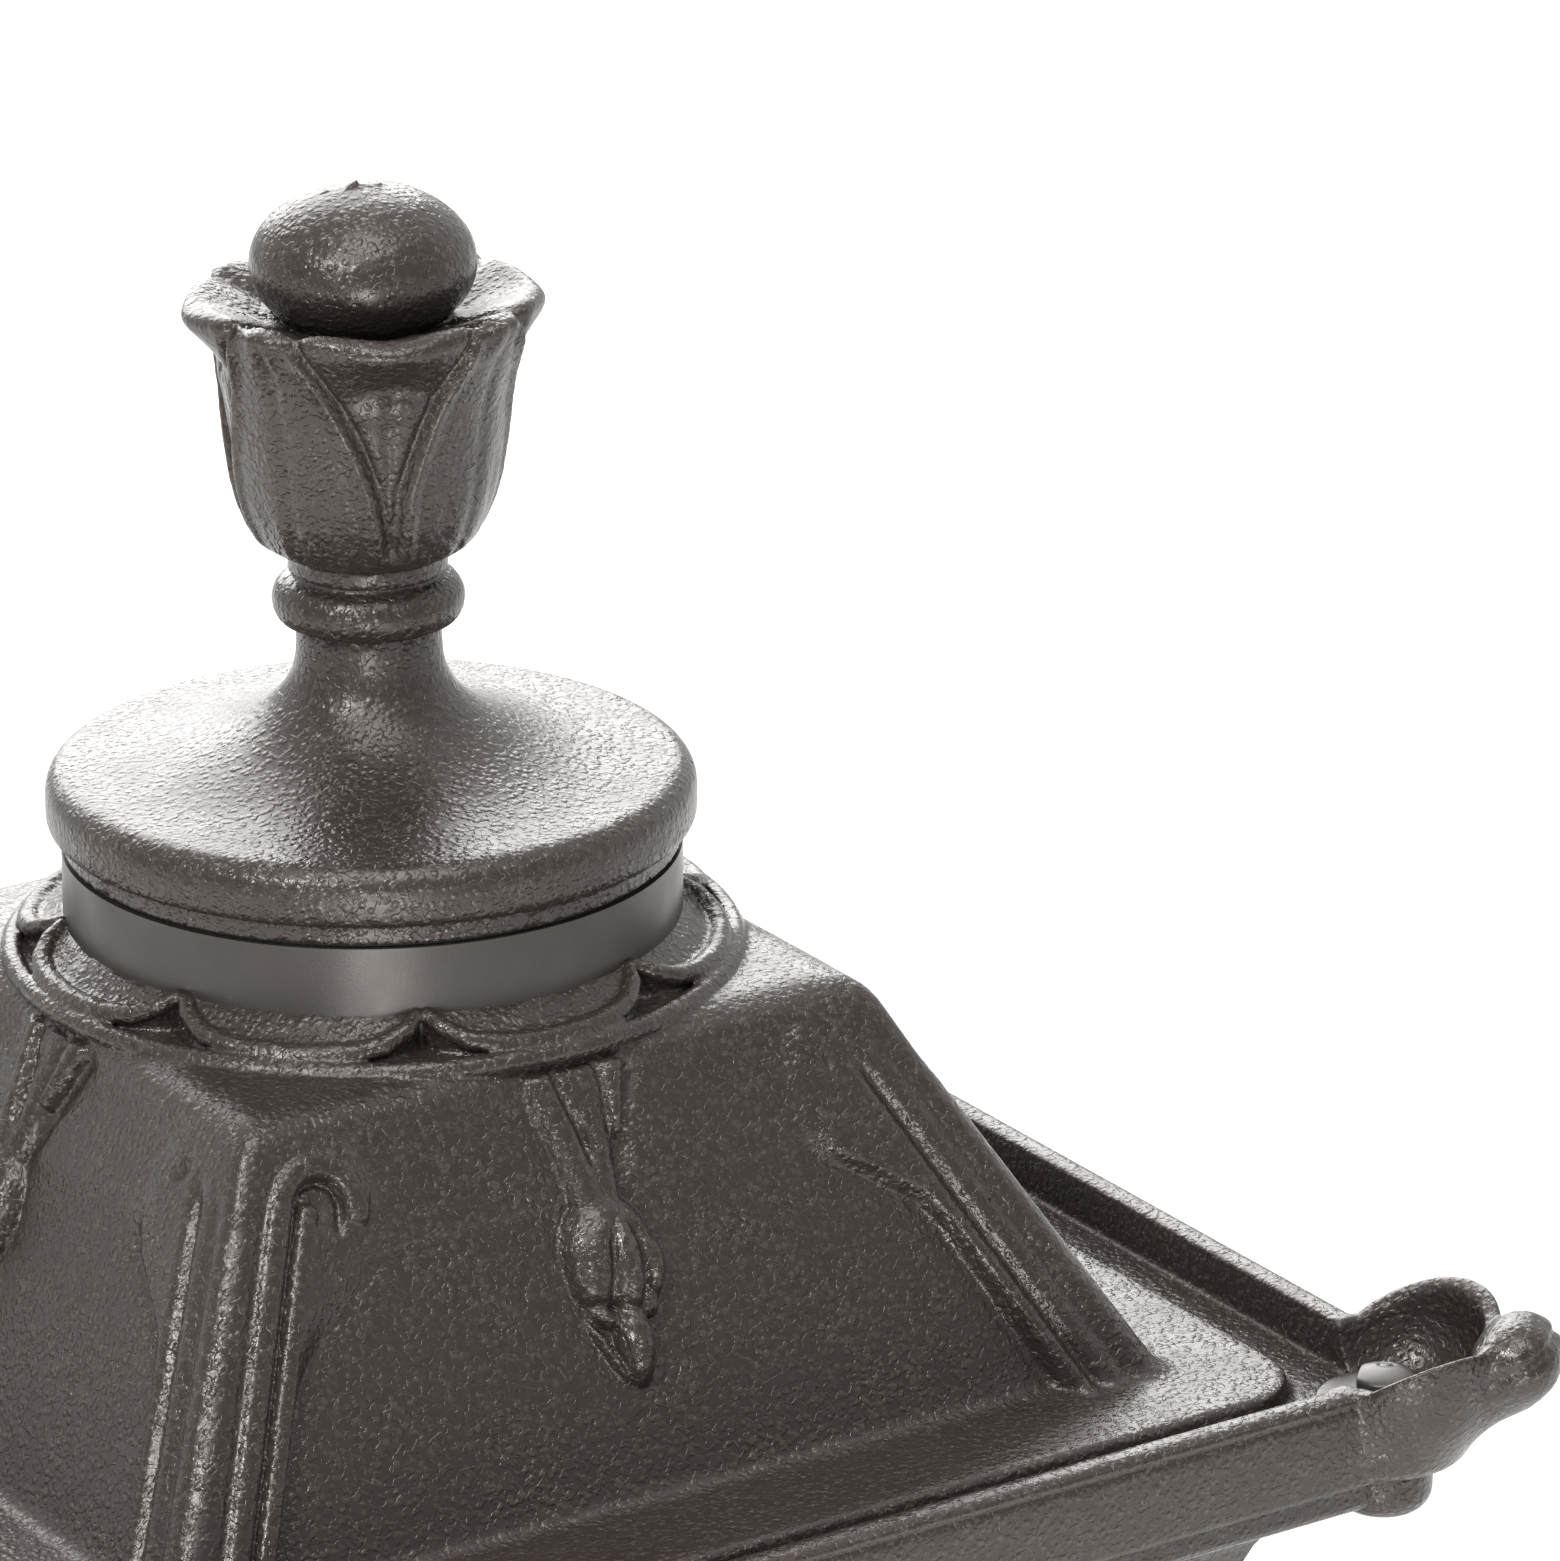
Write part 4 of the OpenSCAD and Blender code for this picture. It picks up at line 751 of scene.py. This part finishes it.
def quarter_block(solid, half, z_low, z_high, cell):
    """Distances on the cells of a square block, worked out for one quarter of it."""
    n = int(math.ceil(half / cell))
    x = ((np.arange(n) + 0.5) * cell).astype(np.float32)
    first = int(round(z_low / cell))
    last = int(round(z_high / cell))
    z = (np.arange(first, last) * cell).astype(np.float32)
    return four_turns(solid(x[:, None, None], -x[None, :, None], z[None, None, :])), (-n, -n, first)


def moulded(name, blocks, cell, thin):
    """One closed mesh where the blocks' distances cross zero, placed in the frame."""
    most = 2.0
    grid = vdb.FloatGrid(background=most)
    for block, corner in blocks:
        grid.copyFromArray(np.clip(block, -most, most), ijk=corner)
    points, tris, quads = grid.convertToPolygons(isovalue=0.0, adaptivity=thin)
    points = points.astype(np.float64)
    points[:, :2] = (points[:, :2] + 0.5) * cell
    points[:, 2] = points[:, 2] * cell + PLATE_Z
    mesh = bpy.data.meshes.new(name)
    loops = np.concatenate([tris[:, ::-1].ravel(), quads[:, ::-1].ravel()]).astype(np.int32)
    starts = np.concatenate([np.arange(len(tris)) * 3, len(tris) * 3 + np.arange(len(quads)) * 4])
    mesh.vertices.add(len(points))
    mesh.vertices.foreach_set("co", (points * MM).astype(np.float32).ravel())
    mesh.loops.add(len(loops))
    mesh.loops.foreach_set("vertex_index", loops)
    mesh.polygons.add(len(starts))
    mesh.polygons.foreach_set("loop_start", starts.astype(np.int32))
    mesh.polygons.foreach_set("use_smooth", np.ones(len(starts), bool))
    mesh.update(calc_edges=True)
    mesh.validate()
    piece = bpy.data.objects.new(name, mesh)
    bpy.context.scene.collection.objects.link(piece)
    return piece


def thinned(piece, most):
    """The same piece with at most this many triangles."""
    count = sum(len(p.vertices) - 2 for p in piece.data.polygons)
    if count > most:
        cut = piece.modifiers.new("thin", "DECIMATE")
        cut.ratio = most / count
        graph = bpy.context.evaluated_depsgraph_get()
        mesh = bpy.data.meshes.new_from_object(piece.evaluated_get(graph))
        piece.modifiers.clear()
        piece.data = mesh


BELOW_FASCIA = -12.4
ABOVE_TIPS = 16.4
ABOVE_RING = 73
canopy = moulded("canopy_moulding", [quarter_block(canopy_solid, 139, BELOW_FASCIA, ABOVE_TIPS, CELL),
                                     quarter_block(canopy_solid, 92, ABOVE_TIPS, ABOVE_RING, CELL)],
                 CELL, thin=0.08)
thinned(canopy, most=190000)
stands_for(canopy, "canopy", "root", GRAINED)

# Lock pegs
# Each corner has a turned disc with a cut button, a shank and a cross foot that locks
# under the cage's corner. A quarter turn frees the canopy.
PEG_CELL = 0.25
PEG_DISC_R = 10.7
PEG_BUTTON_R = 5.0
PEG_SHANK_R = 3.0
PEG_TOP = 3.4
PEG_FOOT = -16.5
FOOT_HALF = (5.5, 1.9, 1.1)
DOME_R = 14.3
PEG_ROOM = 11.5
PEG_CLEAR = 1.0


def lock_peg(x, y, z, sx, sy):
    """Distance from the peg of the corner that lies towards sx and sy."""
    px = x - sx * PEG_AT
    py = y - sy * PEG_AT
    rho = np.hypot(px, py)
    inward = -(sx * px + sy * py) * math.sqrt(0.5)
    sideways = (sx * py - sy * px) * math.sqrt(0.5)
    disc = soft_meet(rho - PEG_DISC_R, np.abs(z + 2.3) - 0.9, 0.5)
    ejector = 0.22 * bump_at(np.hypot(inward, sideways - 2.2) - 1.1, 0.3)
    dome = np.hypot(rho, z - PEG_TOP + DOME_R) - DOME_R + ejector
    button = soft_meet(rho - PEG_BUTTON_R, dome, 0.6)
    button = soft_meet(button, inward - PEG_BUTTON_R + 0.9, 0.3)
    button = np.maximum(button, -2.0 - z)
    shank = np.maximum(rho - PEG_SHANK_R, np.abs(z + 9.0) - 7.0)
    foot = soft_meet(np.abs(inward) - FOOT_HALF[0], np.abs(sideways) - FOOT_HALF[1], 0.4)
    foot = np.maximum(foot, np.abs(z - PEG_FOOT - FOOT_HALF[2]) - FOOT_HALF[2])
    return np.minimum(np.minimum(disc, button), np.minimum(shank, foot))


def block_of(solid, low, high, cell):
    """Distances on the cells between two corners of a block, and the place of its first cell."""
    first = [int(round(v / cell)) for v in low]
    last = [int(round(v / cell)) for v in high]
    lines = []
    for start, end, shift in zip(first, last, (0.5, 0.5, 0)):
        lines.append(((np.arange(start, end) + shift) * cell).astype(np.float32))
    x, y, z = lines
    return solid(x[:, None, None], y[None, :, None], z[None, None, :]), tuple(first)


for name, (sx, sy) in CORNERS.items():
    low = (sx * PEG_AT - PEG_ROOM, sy * PEG_AT - PEG_ROOM, PEG_FOOT - PEG_CLEAR)
    high = (sx * PEG_AT + PEG_ROOM, sy * PEG_AT + PEG_ROOM, PEG_TOP + PEG_CLEAR)
    block = block_of(lambda x, y, z: lock_peg(x, y, z, sx, sy), low, high, PEG_CELL)
    peg = moulded("peg_turned_" + name, [block], PEG_CELL, thin=0.04)
    stands_for(peg, "lock_peg_" + name, "peg_" + name, SMOOTH)

# Chimney collar
# A smooth moulded ring that snaps into the canopy. The cap stands on it over a soft seal,
# held by four screws up through its web.
dress("chimney_collar", SMOOTH)
dress("cap_seal", RUBBER)
upright_screws("cap_screws", 9.0)

# Finial cap
# Round cap, neck, bead, tulip cup and ball in one moulding, with the torn stub of the
# sprue left on the ball. It stands on the collar and hides the four screws below it.
V_AXIS = -111.5        # degrees round the axis to the middle of one V
HALF_PETAL = 45
# The cup's radius at some heights, and there the half angle of a V and its lean.
CUP_Z = (127, 128.1, 130, 132.6, 136, 140, 146.1, 153.6, 158.6, 163, 166.6, 169.6)
CUP_R = (12.6, 14.2, 16.2, 17.6, 19.0, 20.0, 20.9, 21.9, 23.2, 24.9, 26.5, 27.3)
V_Z = (130, 136.5, 143, 149, 155.5, 162, 168)
V_SPREAD = (5.5, 6.2, 8.2, 13, 19.5, 27, 34)
LEAN_Z = (130, 143, 168)
V_LEAN = (3.0, 0.8, -1.5)
CUP_TOP = 169.9


def tulip(x, y, z):
    """Four inner petals, each in a V of two ridges, with a pointed petal between them."""
    rho = np.hypot(x, y)
    turn = np.degrees(np.arctan2(y, x)) - V_AXIS
    turn = (turn + HALF_PETAL) % (2 * HALF_PETAL) - HALF_PETAL
    up = z.ravel()
    body = np.interp(up, CUP_Z, CUP_R).reshape(z.shape)
    spread = np.interp(up, V_Z, V_SPREAD).reshape(z.shape)
    lean = np.interp(up, LEAN_Z, V_LEAN).reshape(z.shape)

    def arc(degrees):
        return degrees * math.pi / 180 * body

    off = arc(np.abs(turn - lean) - spread)
    fade = glide(128.5, 131.5, z)
    ridge = 1.25 * bump_at(off - 0.5, 1.3) - 0.9 * bump_at(off + 1.5, 0.85) * glide(130, 134, z)
    outer = glide(0.5, 4.0, off)
    between = 0.55 * outer * (1 - 0.9 * bump_at(arc(np.abs(turn) - HALF_PETAL), 1.0))
    flute = -0.35 * bump_at(arc(np.abs(turn) - 28), 1.3) * glide(156, 140, z) * outer
    inside = glide(0.2, -3.0, off)
    stem = -0.5 * bump_at(arc(turn - lean), 0.8) * glide(162, 150, z) * glide(139, 146, z)
    roll = 1.7 * bump_at(z - 166.6 + 0.0005 * turn ** 2, 2.6) * bump_at(turn - 2, 19)
    under = -1.5 * bump_at(z - 160.6 + 0.006 * turn ** 2, 2.2) * bump_at(turn - 2, 15)
    crease = -0.5 * bump_at(arc(turn - 1), 0.7) * glide(150, 160, z) * glide(166, 160, z)
    notch = -1.7 * bump_at(arc(np.abs(turn - lean) - 34), 1.8) * glide(163, 169, z)
    tip = 0.8 * bump_at(arc(np.abs(turn) - HALF_PETAL), 3.0) * glide(162, 169, z)
    skin = body + fade * (ridge + between + flute + stem * inside + crease * inside)
    skin = skin + roll + under + notch + tip
    wall = 0.9 * (rho - skin)
    crown = CUP_TOP - 1.0 * bump_at(np.abs(turn) - 34, 5.0) - 0.8 * bump_at(turn, 14)
    dish = np.interp(rho.ravel(), (16, 18.4, 22, 25, 27.5), (-3.6, -2.6, -1.1, 0.0, -0.6)).reshape(rho.shape)
    return soft_meet(wall, 0.95 * (z - crown - dish), 1.6)


CAP_EDGE = 46.8
CAP_ROUND = 4.2
CAP_MIDDLE = 89.1
CAP_TOP = 91.6
CAP_BORE_R = 43.2
SCREW_AT = 24.75
SCREW_BOSS_R = 4.2
FLARE_TOP = 112.0
NECK_R = 11.4
UPPER_NECK_R = 11.5
BEAD = (10.8, 120.1, 4.3)        # distance of its middle from the axis, height and radius
BALL_AT = 174.2
BALL_HALF = (17.6, 12.2)
SEAT_HALF = (18.1, 12.7)
SEAT_FOOT = 164.8


def round_cap(x, y, z):
    """The hollow cap with its flare up to the neck, its four screw bosses and its lip."""
    rho = np.hypot(x, y)
    rim = np.hypot(np.clip(rho - CAP_EDGE, 0, None), np.clip(z - CAP_MIDDLE, 0, None)) - CAP_ROUND
    disc = np.where(rho < CAP_EDGE, z - CAP_TOP, rim)
    disc = soft_meet(disc, 83.7 - z, 2.4)
    flare = -oval_ball(CAP_EDGE - rho, FLARE_TOP - z, CAP_EDGE - NECK_R, 18.7)
    flare = np.where((rho < CAP_EDGE) & (z < FLARE_TOP), flare, FAR)
    flare = np.maximum(flare, 90.0 - z)
    hollow = np.maximum(rho - CAP_BORE_R, z - 89.3)
    for sx, sy in CORNERS.values():
        hollow = np.maximum(hollow, SCREW_BOSS_R - np.hypot(x - sx * SCREW_AT, y - sy * SCREW_AT))
    body = np.maximum(np.minimum(disc, flare), -hollow)
    lip = np.maximum(np.maximum(np.maximum(rho - 48.5, z - 86), 80.6 - z), CAP_BORE_R - rho)
    neck = np.maximum(rho - NECK_R, 90 - z)
    return soft_join(np.minimum(body, lip), neck, 0.6)


def cup_and_ball(x, y, z):
    """The neck with its bead, the tulip cup, and the ball in it behind a fine gap."""
    rho = np.hypot(x, y)
    neck = np.maximum(rho - UPPER_NECK_R, z - 140)
    bead = np.hypot(rho - BEAD[0], z - BEAD[1]) - BEAD[2]
    solid = soft_join(neck, bead, 0.9)
    foot = np.maximum(rho - 12.3, np.abs(z - 126.6) - 1.3) - 0.2
    solid = soft_join(solid, foot, 0.8)
    cup = soft_meet(tulip(x, y, z), 128.0 - z, 2.0)
    solid = soft_join(solid, cup, 0.7)
    gap = np.abs(oval_ball(rho, z - BALL_AT, *SEAT_HALF)) - 0.25
    solid = np.maximum(solid, -np.maximum(gap, SEAT_FOOT - z))
    return np.minimum(solid, oval_ball(rho, z - BALL_AT, *BALL_HALF))


def ball_and_stub(x, y, z):
    """The ball's top with the torn end of the sprue on it."""
    torn = rod(x, y, z, (-2.6, 0.4, 185.4), (-1.0, -0.2, 187.1), 1.1, 0.25)
    flat = rod(x, y, z, (-1.6, 0.0, 185.9), (2.6, -1.2, 186.3), 0.8, 0.35)
    return soft_join(cup_and_ball(x, y, z), soft_join(torn, flat, 0.5), 0.5)


FINE_CELL = 0.36
CAP_HALF = 52.2
CUP_HALF = 30.0
blocks = []
for solid, half, low, high in (
    (round_cap, CAP_HALF, 79.92, 117.0),
    (cup_and_ball, CUP_HALF, 117.0, 180.0),
    (ball_and_stub, CUP_HALF, 180.0, 188.28),
):
    blocks.append(block_of(solid, (-half, -half, low), (half, half, high), FINE_CELL))
finial = moulded("finial_moulding", blocks, FINE_CELL, thin=0.05)
thinned(finial, most=150000)
stands_for(finial, "finial_cap", "root", GRAINED)

# Photographer's table
# A plain pale floor under the lantern, white surroundings, soft lamps, and the
# camera where the photograph was taken.
CAMERA_AT = (-0.67608, -1.13719, 0.85993)
AZIMUTH = math.radians(-33.50)
ELEVATION = math.radians(20.13)
FOCAL_PX = 8999
IMAGE_W = 1560
SENSOR = 36.0

camera_data = bpy.data.cameras.new("photo_camera")
camera = bpy.data.objects.new("photo_camera", camera_data)
bpy.context.scene.collection.objects.link(camera)
camera.location = CAMERA_AT
camera.rotation_euler = (math.pi / 2 - ELEVATION, 0, AZIMUTH)
camera_data.sensor_width = SENSOR
camera_data.sensor_fit = "HORIZONTAL"
camera_data.lens = FOCAL_PX / IMAGE_W * SENSOR
camera_data.clip_start = 0.05
camera_data.clip_end = 60
bpy.context.scene.camera = camera


def seen_white(tree, light, white):
    """White where the camera, gloss or glass looks at it, plain light otherwise."""
    path = tree.nodes.new("ShaderNodeLightPath")
    seen = path.outputs["Is Camera Ray"]
    for label in ("Is Glossy Ray", "Is Transmission Ray"):
        seen = sums(tree, "ADD", seen, path.outputs[label], clamp=True)
    level = put(tree, "ShaderNodeMapRange")
    level.inputs["To Min"].default_value = light
    level.inputs["To Max"].default_value = white
    tree.links.new(seen, level.inputs["Value"])
    return level.outputs["Result"]


def darker_room(tree, level, dark):
    """The side of the room where the photographer stands is darker in gloss."""
    path = tree.nodes.new("ShaderNodeLightPath")
    place = tree.nodes.new("ShaderNodeTexCoord")
    ahead = put(tree, "ShaderNodeVectorMath", {"operation": "DOT_PRODUCT"})
    tree.links.new(place.outputs["Generated"], ahead.inputs[0])
    ahead.inputs[1].default_value = (-math.sin(AZIMUTH), math.cos(AZIMUTH), 0)
    side = ramp(tree, ahead.outputs["Value"], -0.35, 0.45, 1.0 - dark, 0.0)
    lost = sums(tree, "MULTIPLY", side, path.outputs["Is Glossy Ray"])
    return sums(tree, "MULTIPLY", level, sums(tree, "SUBTRACT", 1.0, lost))


world = bpy.data.worlds.new("studio")
bpy.context.scene.world = world
world.use_nodes = True
sky = world.node_tree.nodes["Background"]
sky.inputs["Color"].default_value = (1, 1, 0.985, 1)
ROOM_LIGHT = 0.45
DARK_SIDE = 0.35
level = darker_room(world.node_tree, seen_white(world.node_tree, ROOM_LIGHT, 1.0), DARK_SIDE)
world.node_tree.links.new(level, sky.inputs["Strength"])

REACH = 12.0
FLOOR_WHITE = 0.42
floor_mesh = bpy.data.meshes.new("floor")
ends = ((-REACH, -REACH, 0), (REACH, -REACH, 0), (REACH, REACH, 0), (-REACH, REACH, 0))
floor_mesh.from_pydata(ends, [], [(0, 1, 2, 3)])
floor = bpy.data.objects.new("floor", floor_mesh)
bpy.context.scene.collection.objects.link(floor)
pale, tree, shader = finish_of("pale_floor", Base_Color=(0.80, 0.80, 0.79, 1), Roughness=0.9)
shader.inputs["Emission Color"].default_value = (1, 1, 0.985, 1)
tree.links.new(seen_white(tree, 0.0, FLOOR_WHITE), shader.inputs["Emission Strength"])
floor_mesh.materials.append(pale)


def soft_lamp(name, azimuth, elevation, distance, size, watts, aim=(0, 0, 0.3)):
    """A round lamp, seen from its aim at this bearing and height in degrees."""
    data = bpy.data.lights.new(name, "AREA")
    data.shape = "DISK"
    data.size = size
    data.energy = watts
    lamp = bpy.data.objects.new(name, data)
    a = math.radians(azimuth)
    e = math.radians(elevation)
    lamp.location = (
        aim[0] + distance * math.sin(a) * math.cos(e),
        aim[1] - distance * math.cos(a) * math.cos(e),
        aim[2] + distance * math.sin(e),
    )
    lamp.rotation_euler = (math.pi / 2 - e, 0, a)
    lamp.visible_camera = False
    bpy.context.scene.collection.objects.link(lamp)


soft_lamp("overhead", -20, 72, 2.0, 1.2, 22)
soft_lamp("back_bank", 158, 26, 2.6, 2.3, 62)
soft_lamp("front_low", -30, -17, 0.85, 0.22, 2.2, aim=(0, 0, 0.42))
soft_lamp("front_box", -62, 42, 2.2, 0.45, 26)
bpy.context.scene.view_settings.view_transform = "Standard"
